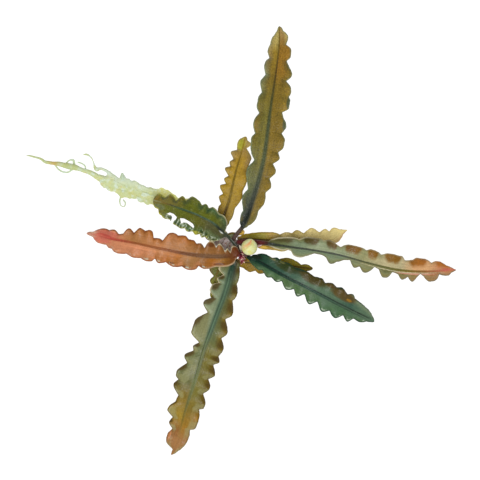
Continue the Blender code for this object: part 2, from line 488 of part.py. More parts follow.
def tear_cutter(name, outline):
    """An upright prism that cuts one torn gap out of a leaf."""
    prism = bmesh.new()
    corners = [prism.verts.new(Vector((x, y, TEAR_BOTTOM)) * MM) for x, y in outline]
    floor = prism.faces.new(corners)
    raised = bmesh.ops.extrude_face_region(prism, geom=[floor])
    lifted = [item for item in raised["geom"] if isinstance(item, bmesh.types.BMVert)]
    bmesh.ops.translate(prism, verts=lifted, vec=Vector((0.0, 0.0, TEAR_TOP - TEAR_BOTTOM)) * MM)
    bmesh.ops.recalc_face_normals(prism, faces=prism.faces)
    cutter = place(name, prism, material(name, (0.5, 0.5, 0.5), 0.5))
    cutter.hide_render = True
    cutter.display_type = "WIRE"
    return cutter


def tear(leaf_object, cutter):
    """Cuts one torn gap through a leaf."""
    cut = leaf_object.modifiers.new(cutter.name, "BOOLEAN")
    cut.operation = "DIFFERENCE"
    cut.object = cutter


def flower_bud():
    """The closed bud: an egg drawn out to a short point at its free end."""
    egg = bmesh.new()
    bmesh.ops.create_uvsphere(egg, u_segments=BUD_SEGMENTS, v_segments=BUD_RINGS, radius=1.0)
    for vertex in egg.verts:
        tip = max(vertex.co.z, 0.0)
        narrow = 1.0 - BUD_NARROWING * tip**3
        vertex.co.x *= BUD_RADIUS * narrow
        vertex.co.y *= BUD_RADIUS * narrow
        vertex.co.z *= BUD_LENGTH / 2 * (1.0 + BUD_POINT * tip**8)
    turn = Vector(BUD_AXIS).to_track_quat("Z", "Y").to_matrix().to_4x4()
    bmesh.ops.transform(egg, matrix=Matrix.Translation(BUD_CENTRE) @ turn, verts=egg.verts)
    bmesh.ops.scale(egg, vec=(MM, MM, MM), verts=egg.verts)
    return place("flower_bud", egg, material("flower_bud", (0.74, 0.74, 0.38), 0.45))


leaves = {name: leaf(name, form) for name, form in LEAVES.items()}
tear(leaves["leaf_curled_dark"], tear_cutter("torn_slit", TORN_SLIT))
tear(leaves["leaf_curled_dark"], tear_cutter("torn_notch", TORN_NOTCH))

rhizome_finish = material("rhizome", (0.20, 0.18, 0.17), 0.7)
rod("rhizome", RHIZOME, RHIZOME_SIDES, RHIZOME_RING_SPACING, rhizome_finish, SCAR_DEPTH)
root_finish = material("root", (0.60, 0.62, 0.30), 0.5)
for root_name, root_places in ROOTS.items():
    rod(root_name, root_places, ROOT_SIDES, ROOT_RING_SPACING, root_finish)
stalk_finish = material("flower_stalk", (0.45, 0.30, 0.22), 0.5)
rod("flower_stalk", STALK, STALK_SIDES, SMALL_ROD_RING_SPACING, stalk_finish)
sheath_finish = material("sheath", (0.62, 0.40, 0.38), 0.5)
for sheath_name, sheath_places in SHEATHS.items():
    rod(sheath_name, sheath_places, SHEATH_SIDES, SMALL_ROD_RING_SPACING, sheath_finish)
flower_bud()
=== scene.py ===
"""The looks of a bucephalandra, a small aquarium plant, lying bare-rooted on a pale surface.

After the view, the sections follow the plant as it grows: the rhizome, the eleven leaves round the
crown, the flower bud on its stalk, the sheath scales, the withered bract and the roots. Lengths are
in millimetres until a mesh is made. X is right, Y is up in the view from above, and Z is up off the
surface.
"""
import math

import bmesh
import bpy
import numpy as np
from mathutils import Matrix, Vector, noise


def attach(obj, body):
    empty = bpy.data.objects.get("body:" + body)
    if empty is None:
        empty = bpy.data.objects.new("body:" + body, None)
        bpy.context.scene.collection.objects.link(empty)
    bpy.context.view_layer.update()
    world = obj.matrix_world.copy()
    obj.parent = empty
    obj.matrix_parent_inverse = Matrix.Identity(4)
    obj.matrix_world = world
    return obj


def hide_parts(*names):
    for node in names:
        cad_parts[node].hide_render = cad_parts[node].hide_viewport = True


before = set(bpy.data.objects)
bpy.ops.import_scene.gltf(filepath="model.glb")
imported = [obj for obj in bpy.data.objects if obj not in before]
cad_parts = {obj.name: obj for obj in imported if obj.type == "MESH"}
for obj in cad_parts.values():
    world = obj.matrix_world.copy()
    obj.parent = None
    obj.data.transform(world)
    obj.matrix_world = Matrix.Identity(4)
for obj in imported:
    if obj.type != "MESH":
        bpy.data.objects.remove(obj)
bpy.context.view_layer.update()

# The view. The plant lies on a white surface and is seen from straight above. A broad soft lamp
# stands high over the lower edge of the picture, and the other light comes evenly from all round.
MM = 0.001
VIEW_WIDTH = 160.0
VIEW_CENTRE = (0.0, 2.67)
LENS = 400.0
FILM = 36.0
LEAF_HEIGHT = 5.0
AMBIENT_LIGHT = 0.46
LAMP_POWER = 12.6
LAMP_PLACE = (-0.08, -0.32, 1.2)
LAMP_SIZE = 0.6
SURFACE_WIDTH = 1.6
SURFACE_HEIGHT = -0.2
SURFACE_GLOW = 1.0
SURFACE_SHADE = 0.12

bpy.context.scene.view_settings.view_transform = "Standard"
camera = bpy.data.objects.new("camera", bpy.data.cameras.new("camera"))
camera.data.lens = LENS
camera.data.sensor_width = FILM
camera.location = (
    VIEW_CENTRE[0] * MM, VIEW_CENTRE[1] * MM, (LEAF_HEIGHT + VIEW_WIDTH * LENS / FILM) * MM)
bpy.context.scene.collection.objects.link(camera)
bpy.context.scene.camera = camera

lamp = bpy.data.objects.new("lamp", bpy.data.lights.new("lamp", "AREA"))
lamp.data.energy = LAMP_POWER
lamp.data.size = LAMP_SIZE
lamp.location = LAMP_PLACE
lamp.rotation_euler = (-Vector(LAMP_PLACE)).to_track_quat("-Z", "Y").to_euler()
bpy.context.scene.collection.objects.link(lamp)

world = bpy.data.worlds.new("studio")
world.use_nodes = True
world.node_tree.nodes["Background"].inputs["Color"].default_value = (1.0, 1.0, 1.0, 1.0)
world.node_tree.nodes["Background"].inputs["Strength"].default_value = AMBIENT_LIGHT
bpy.context.scene.world = world

surface_shape = bmesh.new()
bmesh.ops.create_grid(surface_shape, x_segments=1, y_segments=1, size=SURFACE_WIDTH / 2)
bmesh.ops.translate(surface_shape, verts=surface_shape.verts, vec=(0.0, 0.0, SURFACE_HEIGHT * MM))
surface = bpy.data.objects.new("surface", bpy.data.meshes.new("surface"))
surface_shape.to_mesh(surface.data)
surface_shape.free()
surface_finish = bpy.data.materials.new("white_surface")
surface_finish.use_nodes = True
for socket, value in (
        ("Base Color", (*[SURFACE_SHADE] * 3, 1.0)), ("Roughness", 1.0), ("Specular IOR Level", 0.0),
        ("Emission Color", (1.0, 1.0, 1.0, 1.0)), ("Emission Strength", SURFACE_GLOW)):
    surface_finish.node_tree.nodes["Principled BSDF"].inputs[socket].default_value = value
surface.data.materials.append(surface_finish)
bpy.context.scene.collection.objects.link(surface)

# The rhizome, the thick creeping stem that everything grows from. It is woody and grey, ringed by
# the scars of old leaves, and lies on the surface on its worn underside.
RHIZOME = (
    (-12.2, 5.4, 1.5, 1.1), (-10.8, 4.8, 1.8, 1.7), (-7.2, 3.0, 2.15, 2.3), (-3.0, 0.9, 2.2, 2.6),
    (0.3, -0.5, 2.2, 2.75), (2.1, -1.2, 3.2, 2.3), (3.0, -1.5, 4.1, 1.4))
RHIZOME_SIDES = 72
RHIZOME_RINGS = 150
SCAR_SPACING = 2.1
SCAR_WIDTH = 0.22
SCAR_DEPTH = 0.22
LUMP_SIZE = 1.1
LUMP_HEIGHT = 0.16
CROWN_START = -2.6
CROWN_FADE = 2.0
LOWEST = 0.03
END_ROUNDING = 0.5
LEAST_FULLNESS = 0.01
PATH_POINTS = 600
TUBE_PITCH = 4.0


def smoothstep(values):
    """0 below 0, 1 above 1, and a soft rise between."""
    values = np.clip(values, 0.0, 1.0)
    return values * values * (3.0 - 2.0 * values)


def travelled(rows):
    """The distance along a row of places, from the first to each."""
    steps = np.linalg.norm(np.diff(rows, axis=0), axis=1)
    return np.concatenate(([0.0], np.cumsum(steps)))


def cubic(stops, knots, slopes, distances):
    """Values at these distances on the cubic curve through the knots with these slopes."""
    i = np.clip(np.searchsorted(stops, distances) - 1, 0, len(stops) - 2)
    shape = (-1,) + (1,) * (knots.ndim - 1)
    span = (stops[i + 1] - stops[i]).reshape(shape)
    t = np.clip((distances - stops[i]).reshape(shape) / span, 0.0, 1.0)
    return ((2 * t**3 - 3 * t**2 + 1) * knots[i] + (t**3 - 2 * t**2 + t) * span * slopes[i]
            + (3 * t**2 - 2 * t**3) * knots[i + 1] + (t**3 - t**2) * span * slopes[i + 1])


def path_at(places, shares):
    """Centre, radius, rightward and upward directions at these shares of a rod's length."""
    knots = np.array(places, float)
    stops = travelled(knots[:, :3])
    fine = np.linspace(0.0, stops[-1], PATH_POINTS)
    rows = cubic(stops, knots, np.gradient(knots, stops, axis=0), fine)
    forward = np.gradient(rows[:, :3], fine, axis=0)
    forward /= np.linalg.norm(forward, axis=1, keepdims=True)
    right = np.cross(forward, (0.0, 0.0, 1.0))
    right /= np.linalg.norm(right, axis=1, keepdims=True)
    up = np.cross(right, forward)
    at = shares * stops[-1]

    def read(table):
        return np.stack([np.interp(at, fine, column) for column in table.T], -1)

    return read(rows[:, :3]), np.interp(at, fine, rows[:, 3]), read(right), read(up)


def outward_at(right, up, angle):
    """The directions from a rod's centre line to its skin."""
    return right * np.sin(angle)[:, None] + up * np.cos(angle)[:, None]


def tubes(name, sides, rings, count=1):
    """Closed round tubes as one mesh, and the number, ring and angle of each of its vertices."""
    shape = bmesh.new()
    bmesh.ops.create_cone(
        shape, cap_ends=True, cap_tris=False, segments=sides, radius1=1.0, radius2=1.0, depth=1.0)
    long_edges = [e for e in shape.edges if abs(e.verts[0].co.z - e.verts[1].co.z) > 0.5]
    bmesh.ops.subdivide_edges(shape, edges=long_edges, cuts=rings - 2, use_grid_fill=True)
    mesh = bpy.data.meshes.new(name)
    shape.to_mesh(mesh)
    shape.free()
    if count > 1:
        mesh = repeated(mesh, count)
    spots = np.empty(len(mesh.vertices) * 3)
    mesh.vertices.foreach_get("co", spots)
    spots = spots.reshape(-1, 3)
    number = np.round(spots[:, 0] / TUBE_PITCH).astype(int)
    ring = np.round((spots[:, 2] + 0.5) * (rings - 1)).astype(int)
    return mesh, number, ring, np.arctan2(spots[:, 1], spots[:, 0] - number * TUBE_PITCH)


def repeated(mesh, count):
    """This mesh as many times over in a row."""
    single = bpy.data.objects.new("single", mesh)
    bpy.context.scene.collection.objects.link(single)
    row = single.modifiers.new("row", "ARRAY")
    row.count = count
    row.use_relative_offset = False
    row.use_constant_offset = True
    row.constant_offset_displace = (TUBE_PITCH, 0.0, 0.0)
    made = bpy.data.meshes.new_from_object(
        single.evaluated_get(bpy.context.evaluated_depsgraph_get()))
    bpy.data.objects.remove(single)
    return made


def rounded_ends(distances, start, end, rounding):
    """How full a rod or blade is along its length: drawn in over its rounded ends."""
    near_end = np.minimum(distances - start, end - distances) / rounding
    return np.sqrt(np.clip(1.0 - (1.0 - np.clip(near_end, 0.0, 1.0)) ** 2, LEAST_FULLNESS, 1.0))


def lumps(spots, size, seed):
    """Smooth random lumps of about this size over these spots, from -1 to 1."""
    return np.array([noise.noise(Vector(spot) / size + Vector((seed, 0.0, 0.0))) for spot in spots])


def note(mesh, name, values):
    """Keeps a number for each vertex, for the material to read."""
    mesh.attributes.new(name, "FLOAT", "POINT").data.foreach_set(
        "value", np.ascontiguousarray(values, np.float32))


def mould(mesh, spots):
    """Moves a mesh's vertices to these spots, and keeps them off the surface."""
    spots[:, 2] = np.maximum(spots[:, 2], LOWEST)
    mesh.vertices.foreach_set("co", np.ascontiguousarray(spots * MM, np.float32).ravel())
    mesh.shade_smooth()
    mesh.update()


def piece(name, mesh, finish):
    """Stands a finished mesh in for the solid of the same name."""
    made = bpy.data.objects.new(f"{name}_fine", mesh)
    mesh.materials.append(finish.made)
    bpy.context.scene.collection.objects.link(made)
    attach(made, "root")
    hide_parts(name)
    return made


class Signal:
    """A number or colour that varies over a surface. Sums and products of it add their nodes."""

    def __init__(self, finish, socket):
        self.finish = finish
        self.socket = socket

    def math(self, operation, first, second):
        return self.finish.node("ShaderNodeMath", {"operation": operation}, {0: first, 1: second})

    def __add__(self, other):
        return self.math("ADD", self, other)

    def __sub__(self, other):
        return self.math("SUBTRACT", self, other)

    def __mul__(self, other):
        return self.math("MULTIPLY", self, other)


class Finish:
    """A material in the making: a Principled shader with fixed values, and what varies over it."""

    def __init__(self, name, **fixed):
        self.made = bpy.data.materials.new(name)
        self.made.use_nodes = True
        self.nodes = self.made.node_tree.nodes
        self.shader = self.nodes["Principled BSDF"]
        for socket_name, value in fixed.items():
            self.shader.inputs[socket_name.replace("_", " ")].default_value = value

    def node(self, kind, settings, sockets, output=0):
        """Any node: its settings first, then values or links for its sockets."""
        made = self.nodes.new(kind)
        for setting, value in settings.items():
            if setting == "stops":
                self.set_stops(made.color_ramp, value)
            else:
                setattr(made, setting, value)
        for socket_name, value in sockets.items():
            self.feed(made.inputs[socket_name], value)
        return Signal(self, made.outputs[output])

    def set_stops(self, ramp, stops):
        while len(ramp.elements) < len(stops):
            ramp.elements.new(0.5)
        for element, (place, colour) in zip(ramp.elements, stops):
            element.position = place
            element.color = colour

    def feed(self, socket, value):
        if isinstance(value, Signal):
            self.made.node_tree.links.new(value.socket, socket)
        else:
            socket.default_value = value

    def attribute(self, name):
        """A number kept on the mesh."""
        return self.node("ShaderNodeAttribute", {"attribute_name": name}, {}, output=2)

    def ramp(self, share, stops):
        """A colour that changes along a share from 0 to 1."""
        return self.node("ShaderNodeValToRGB", {"stops": stops}, {0: share})

    def band(self, value, low, high):
        """0 below one value of a number, 1 above another, and smooth between."""
        return self.node(
            "ShaderNodeMapRange", {"interpolation_type": "SMOOTHSTEP"}, {0: value, 1: low, 2: high})

    def mix(self, share, first, second):
        """A colour, part one and part the other."""
        return self.node("ShaderNodeMix", {"data_type": "RGBA"}, {0: share, 6: first, 7: second}, 2)

    def grain(self, size, detail=3.0):
        """Random mottling with spots of this size in millimetres, from 0 to 1."""
        place = self.node("ShaderNodeTexCoord", {}, {}, output=3)
        return self.node(
            "ShaderNodeTexNoise", {}, {"Vector": place, "Scale": 1.0 / (size * MM), "Detail": detail})

    def streaks(self, length, width):
        """Random streaks along a leaf, of this length and width in millimetres, from 0 to 1."""
        place = self.node("ShaderNodeCombineXYZ", {}, {
            0: self.attribute("along") * (1 / length), 1: self.attribute("aside") * (1 / width)})
        return self.node("ShaderNodeTexNoise", {}, {"Vector": place, "Scale": 1.0, "Detail": 1.0})

    def shaded(self, colour, value):
        """A colour made darker or lighter by a number round 1."""
        return self.node("ShaderNodeHueSaturation", {}, {"Value": value, "Color": colour})

    def roughen(self, height, depth):
        """Low relief, of this depth in millimetres, from a number from 0 to 1."""
        self.feed(self.shader.inputs["Normal"], self.node(
            "ShaderNodeBump", {}, {"Distance": depth * MM, "Height": height}))

    def colour(self, value):
        self.feed(self.shader.inputs["Base Color"], value)


STUDIO_LIGHT = 1.18
STUDIO_SHEEN = 0.013
DARKEST = 0.002


def pigment(red, green, blue):
    """The pigment that looks like this colour, 0 to 255, under the studio's light and its sheen."""
    seen = [((c / 255 + 0.055) / 1.055) ** 2.4 for c in (red, green, blue)]
    return (*[max(c - STUDIO_SHEEN, DARKEST) / STUDIO_LIGHT for c in seen], 1.0)


rhizome_mesh, _, ring, angle = tubes("rhizome", RHIZOME_SIDES, RHIZOME_RINGS)
share = ring / (RHIZOME_RINGS - 1)
centre, radius, right, up = path_at(RHIZOME, share)
length = travelled(np.array(RHIZOME)[:, :3])[-1]
distance = share * length
from_scar = np.abs((distance / SCAR_SPACING) % 1.0 - 0.5) * SCAR_SPACING
scar = np.exp(-(from_scar / SCAR_WIDTH) ** 2)
lump = lumps(centre + right * np.sin(angle)[:, None] * radius[:, None], LUMP_SIZE, 3.0)
thickness = (radius - SCAR_DEPTH * scar + LUMP_HEIGHT * lump) * rounded_ends(
    distance, 0.0, length, END_ROUNDING)
mould(rhizome_mesh, centre + outward_at(right, up, angle) * thickness[:, None])
note(rhizome_mesh, "scar", scar)
note(rhizome_mesh, "crown", smoothstep((centre[:, 0] - CROWN_START) / CROWN_FADE))

bark = Finish("rhizome_bark", Roughness=0.7, Specular_IOR_Level=0.2)
blotches = bark.grain(1.6)
specks = bark.grain(0.5, 5.0)
bark_colour = pigment(158, 148, 140)
for cover, seen in (
        (bark.band(blotches, 0.42, 0.60), (188, 176, 176)),
        (bark.band(specks, 0.55, 0.64), (132, 92, 78)),
        (bark.attribute("crown") * 0.75, (86, 50, 46)),
        (bark.attribute("scar") * 0.7, (112, 102, 92))):
    bark_colour = bark.mix(cover, bark_colour, pigment(*seen))
bark.colour(bark_colour)
bark.roughen(specks, 0.25)
piece("rhizome", rhizome_mesh, bark)

# The long leaf that points up in the picture. Every leaf is one piece: a round petiole flattens
# into a thin blade with a groove over its midrib, a keel under it, and margins ruffled into lobes.
LEAF_SIDES = 84
LEAF_RING_SPACING = 0.16
MIDRIB_POINTS = 400
MIDDLE_CROWDING = 1.7
MARGIN_CROWDING = 1.6
BLADE_START_LENGTH = 3.0
WIDENING = 3.0
NARROWEST_REACH = 0.12
FULLNESS = 0.64
STEEPEST_LEAN = 2.0
MIDDLE_HALF_THICKNESS = 0.34
MARGIN_HALF_THICKNESS = 0.16
MARGIN_BLUNTNESS = 6
THICK_REACH = 1.4
TIP_LENGTH = 8.0
TIP_SHARE = 0.6
KEEL_DEPTH = 0.30
KEEL_WIDTH = 0.6
KEEL_FADE_LENGTH = 12.0
GROOVE_DEPTH = 0.16
GROOVE_WIDTH = 0.28
NIBBLE_SIZE = 0.9
NIBBLE_DEPTH = 0.10
NIBBLE_POWER = 4
SIDES_APART = 5.0
FULL_RUFFLE_REACH = 3.0
RUFFLE_POWER = 2.5
RUFFLE_LAG = 0.12
FOLD_SHARE = 0.28
CURL_START = 0.78
CURL_DEPTH = 0.45
CURL_EVENNESS = 0.6
FRILL_SIZE = 1.15
FRILL_START = 0.50
FRILL_FADE = 0.6
CURL_SPREAD = 3.0
CREASE_WIDTH = 0.25
CREASE_DEPTH = 1.5
PALE_CREASE_WIDTH = 0.17
PALE_CREASE_EDGE = 0.06
DARK_CREASE_START = 0.05
DARK_CREASE_EDGE = 0.10
HALF_BLEND = 0.5
LOBE_START = 0.40
LOBE_FADE = 0.50
FLANK_START = 0.25
FLANK_FADE = 0.4
RIB_SHARPNESS = 4
LINE_FADE = 3.0
BELOW_START = 0.2
BELOW_RISE = 2.0
SPOT_REACH = 1.45
SPOT_FADE = 0.9
MARGIN_LINE = 0.60
MARGIN_SHARPNESS = 1.7
PALE_RIM = 0.60
PALE_RIM_SHARPNESS = 1.6
CREST_START = -1.2
CREST_RISE = 2.2
CREST_REACH = 1.3
GLINT_START = 0.2
GLINT_RISE = 0.5
GLINT_INSET = 0.70
GLINT_WIDTH = 0.19
GLINT_LEAST_REACH = 1.6
VEIN_SPACING = 1.5
VEIN_SLANT = 0.9
MOTTLE_SIZE = 1.4
FINE_SIZE = 0.42
SPECK_SIZE = 0.6
STREAK_LENGTH = 9.0
STREAK_WIDTH = 0.42
PIGMENT_WANDER = 3.0

PIGMENTS = {
    "ink": (40, 46, 40), "slate": (66, 72, 60), "bottle": (32, 62, 50), "pine": (54, 80, 58),
    "deep_teal": (56, 86, 68), "teal": (68, 97, 81), "mist_teal": (91, 115, 91),
    "forest": (74, 106, 74), "leaf_green": (80, 107, 68), "light_green": (100, 124, 84),
    "sage": (122, 138, 108), "pale_sage": (148, 158, 122), "pale_olive": (156, 154, 108),
    "stone": (136, 136, 94), "moss": (110, 118, 76), "fern": (80, 88, 60),
    "dark_olive": (84, 84, 50), "olive": (106, 107, 64), "khaki": (120, 112, 52),
    "lime_olive": (146, 136, 40), "burnt_olive": (114, 92, 24), "dark_moss": (56, 66, 36),
    "leaf_brown": (124, 104, 43), "golden_brown": (138, 110, 22), "nut_brown": (134, 93, 20),
    "plum_brown": (92, 74, 68), "chestnut": (110, 78, 14), "umber": (94, 76, 40),
    "dark_bronze": (78, 68, 26), "bronze": (104, 86, 24), "bronze_green": (94, 94, 34),
    "grass": (100, 106, 36), "lime": (176, 174, 60), "yellow": (232, 190, 84),
    "ochre": (133, 110, 45), "gold": (158, 130, 50), "golden": (174, 141, 50),
    "amber": (158, 118, 46), "sand": (166, 138, 84), "straw": (188, 170, 100),
    "pale_straw": (250, 230, 156), "dove": (192, 180, 138), "cream": (212, 202, 164),
    "highlight_green": (196, 208, 186), "frost": (240, 244, 238), "clay": (120, 88, 62),
    "brick": (112, 66, 36), "maroon": (96, 44, 46), "rust": (146, 86, 48),
    "russet": (146, 100, 42), "burnt": (146, 100, 56), "orange_brown": (160, 99, 38),
    "orange": (176, 109, 50), "dark_copper": (162, 116, 70), "copper": (172, 118, 70),
    "light_copper": (187, 125, 80), "salmon": (204, 135, 97), "coral": (203, 112, 92),
    "rose": (186, 80, 68), "pink": (208, 152, 130), "peach": (220, 170, 120)}


def midrib_at(places, distances):
    """Places and tangents at these distances, measured in plan, on a smooth curve."""
    knots = np.array(places, float)
    stops = travelled(knots[:, :2])
    finely = np.linspace(0.0, stops[-1], MIDRIB_POINTS)
    fine = cubic(stops, knots, np.gradient(knots, stops, axis=0), finely)
    along = travelled(fine[:, :2])
    rows = np.stack([np.interp(distances, along, fine[:, k]) for k in range(3)], 1)
    return rows, np.gradient(rows, distances, axis=0)


def reach_at(edge, distances):
    """The blade's reach to one side: round lobes between the crests and the narrow notches."""
    at, reach = np.array(edge, float).T
    rise = np.diff(reach) / np.diff(at)
    before, after = rise[:-1], rise[1:]
    same_way = before * after > 0
    inner = np.where(same_way, 2 * before * after / np.where(same_way, before + after, 1.0), 0.0)
    smooth = cubic(at, reach, np.concatenate(([rise[0]], inner, [rise[-1]])), distances)
    i = np.clip(np.searchsorted(at, distances) - 1, 0, len(at) - 2)
    low = np.minimum(reach[i], reach[i + 1])
    high = np.maximum(reach[i], reach[i + 1])
    return low + (high - low) * np.clip((smooth - low) / (high - low + 1e-6), 0.0, 1.0) ** FULLNESS


def wave_at(edge, distances, lag=RUFFLE_LAG):
    """The margin's wave, one to a lobe: low at a notch, and high this share past the crest."""
    notches = [edge[0][0]]
    for before, here, after in zip(edge, edge[1:], edge[2:]):
        if here[1] < before[1] and here[1] < after[1]:
            notches.append(here[0])
    notches.append(edge[-1][0])
    turns = np.interp(distances, notches, np.arange(len(notches)))
    return -np.cos(2 * math.pi * (turns - lag))


def section(angle):
    """Where a blade's section has its vertices, from -1 at the left margin to 1 at the right."""
    quarter = np.abs(np.arcsin(np.clip(np.sin(angle), -1.0, 1.0))) / (math.pi / 2)
    from_middle = (quarter**MIDDLE_CROWDING * (1 - quarter)
                   + quarter * (1 - (1 - quarter) ** MARGIN_CROWDING))
    return from_middle * np.sign(np.sin(angle))


def dye(name):
    """The pigment of this name."""
    return pigment(*PIGMENTS[name])


def stops_along(painted, length):
    """A ramp's stops from a list of (distance, pigment name)."""
    return [(distance / length, dye(name)) for distance, name in painted]


def leaf_finish(name, length, halves, lobes, rib, painted_flank_light, spots, crests, margin, speckle):
    """A leaf's skin: pigments that change along each half, its lobes and its midrib, and spots."""
    skin = Finish(name, Specular_IOR_Level=0.22)
    mottle = skin.grain(MOTTLE_SIZE)
    fine = skin.band(skin.grain(FINE_SIZE, 2.0), 0.30, 0.70)
    specks = skin.band(skin.grain(SPECK_SIZE), 0.56, 0.66)
    streak = skin.streaks(STREAK_LENGTH, STREAK_WIDTH)
    ragged = (mottle - 0.5) + (fine - 0.5) * 0.35 * speckle
    along = skin.attribute("along") * (1 / length) + (mottle - 0.5) * (PIGMENT_WANDER / length)
    left, right, left_lobes, right_lobes = [
        skin.ramp(along, stops_along(side, length)) for side in (*halves, *lobes)]
    on_right = skin.attribute("on_right")
    colour = skin.mix(
        skin.attribute("lobe"), skin.mix(on_right, left, right),
        skin.mix(on_right, left_lobes, right_lobes))

    # Painted shade and painted light on the lobes: the shade pigment where a lobe's side faces away
    # from the lamp, the light pigment where it faces the lamp.
    painted_shade_dye, painted_light_dye, painted_shade_cover, painted_light_cover = painted_flank_light
    painted_light_turn = skin.attribute("flank") + ragged * 0.25
    colour = skin.mix(skin.band(painted_light_turn, -0.08, -0.50) * painted_shade_cover, colour, dye(painted_shade_dye))
    colour = skin.mix(skin.band(painted_light_turn, 0.10, 0.50) * painted_light_cover, colour, dye(painted_light_dye))
    for spot in spots:
        cover = skin.band(skin.attribute(f"spot_{spot}") + ragged * 0.7, 0.10, 0.95) * 0.9
        colour = skin.mix(cover, colour, dye(spot))
    if crests:
        cover = skin.band(skin.attribute("crest") + ragged * 0.45, -0.04, 0.48) * 0.97
        colour = skin.mix(cover, colour, skin.ramp(along, stops_along(crests[0], length)))
    rib_stops = stops_along([(row[0], row[3]) for row in rib], length)
    colour = skin.mix(skin.attribute("rib"), colour, skin.ramp(along, rib_stops))
    # Then the margin's pigment, and painted light and shade: painted shade in the gaps between a
    # frill's curls, painted highlights on the curls, the pale rim with its painted highlight, and
    # painted glints on the crests.
    for cover, dye_name in (
            (skin.attribute("margin") * (fine * 0.5 + 0.75), margin[0]),
            (skin.attribute("gaps") * 0.6, "bottle"),
            (skin.attribute("curls") * (fine * 0.6 + 0.3), "highlight_green"),
            (skin.attribute("pale_rim"), "cream"),
            (skin.attribute("glint") * skin.band(mottle, 0.40, 0.54), "highlight_green")):
        colour = skin.mix(cover, colour, dye(dye_name))

    shade = (mottle - 0.5) * 0.35 + ((fine - 0.5) * 0.30 + specks * 0.16) * speckle
    shade = shade + (streak - 0.5) * 0.45 + 0.98
    colour = skin.shaded(colour, shade - skin.attribute("line"))
    underside = skin.shaded(skin.mix(0.35, colour, dye("copper")), 1.15)
    skin.colour(skin.mix(skin.attribute("below"), colour, underside))
    vein = skin.node("ShaderNodeMath", {"operation": "SINE"}, {0: skin.attribute("vein_turn")})
    skin.feed(skin.shader.inputs["Roughness"], fine * 0.22 + 0.28)
    skin.roughen(vein * 0.06 + fine * 0.5 * speckle + mottle * 0.5 + streak * 0.4, 0.12)
    return skin


def read_along(rows, column, place):
    """A value that changes along a piece, from this column of a list whose first is the distance."""
    return np.interp(place, [row[0] for row in rows], [row[column] for row in rows])


def read_sides(rows, place, on_right):
    """A value that changes along the leaf, from a list of (distance, left, right) or for both."""
    return np.where(on_right, read_along(rows, -1, place), read_along(rows, 1, place))


def frills_on(frill, place, side, out, crease):
    """How far curled frills raise each vertex, and how much of the vertex belongs to a frill."""
    raised = np.zeros(len(place))
    curls = np.zeros(len(place))
    for first, last, height, on_side in frill:
        here = smoothstep((place - first) / FRILL_FADE) * smoothstep((last - place) / FRILL_FADE)
        crimp = here * (side == on_side) * smoothstep((out - FRILL_START) / (1 - FRILL_START))
        raised += height * crimp * (1.0 - np.minimum(crease / CREASE_WIDTH, CREASE_DEPTH))
        curls += smoothstep(crimp * CURL_SPREAD)
    return raised, curls


def lines_on(lines, place, from_rib):
    """How dark the lines beside the midrib make each vertex."""
    depth = np.zeros(len(place))
    for left_of, half_width, dark, first, last in lines:
        here = smoothstep((place - first) / LINE_FADE) * smoothstep((last - place) / LINE_FADE)
        depth += here * dark * np.exp(-((from_rib + left_of) / half_width) ** 2)
    return depth


def spots_on(marks, place, aside):
    """How far these oval spots cover each vertex."""
    cover = np.zeros(len(place))
    for at, left_of, half_length, half_width in marks:
        away = np.hypot((place - at) / half_length, (-aside - left_of) / half_width)
        cover = np.maximum(cover, smoothstep((SPOT_REACH - away) / SPOT_FADE))
    return cover


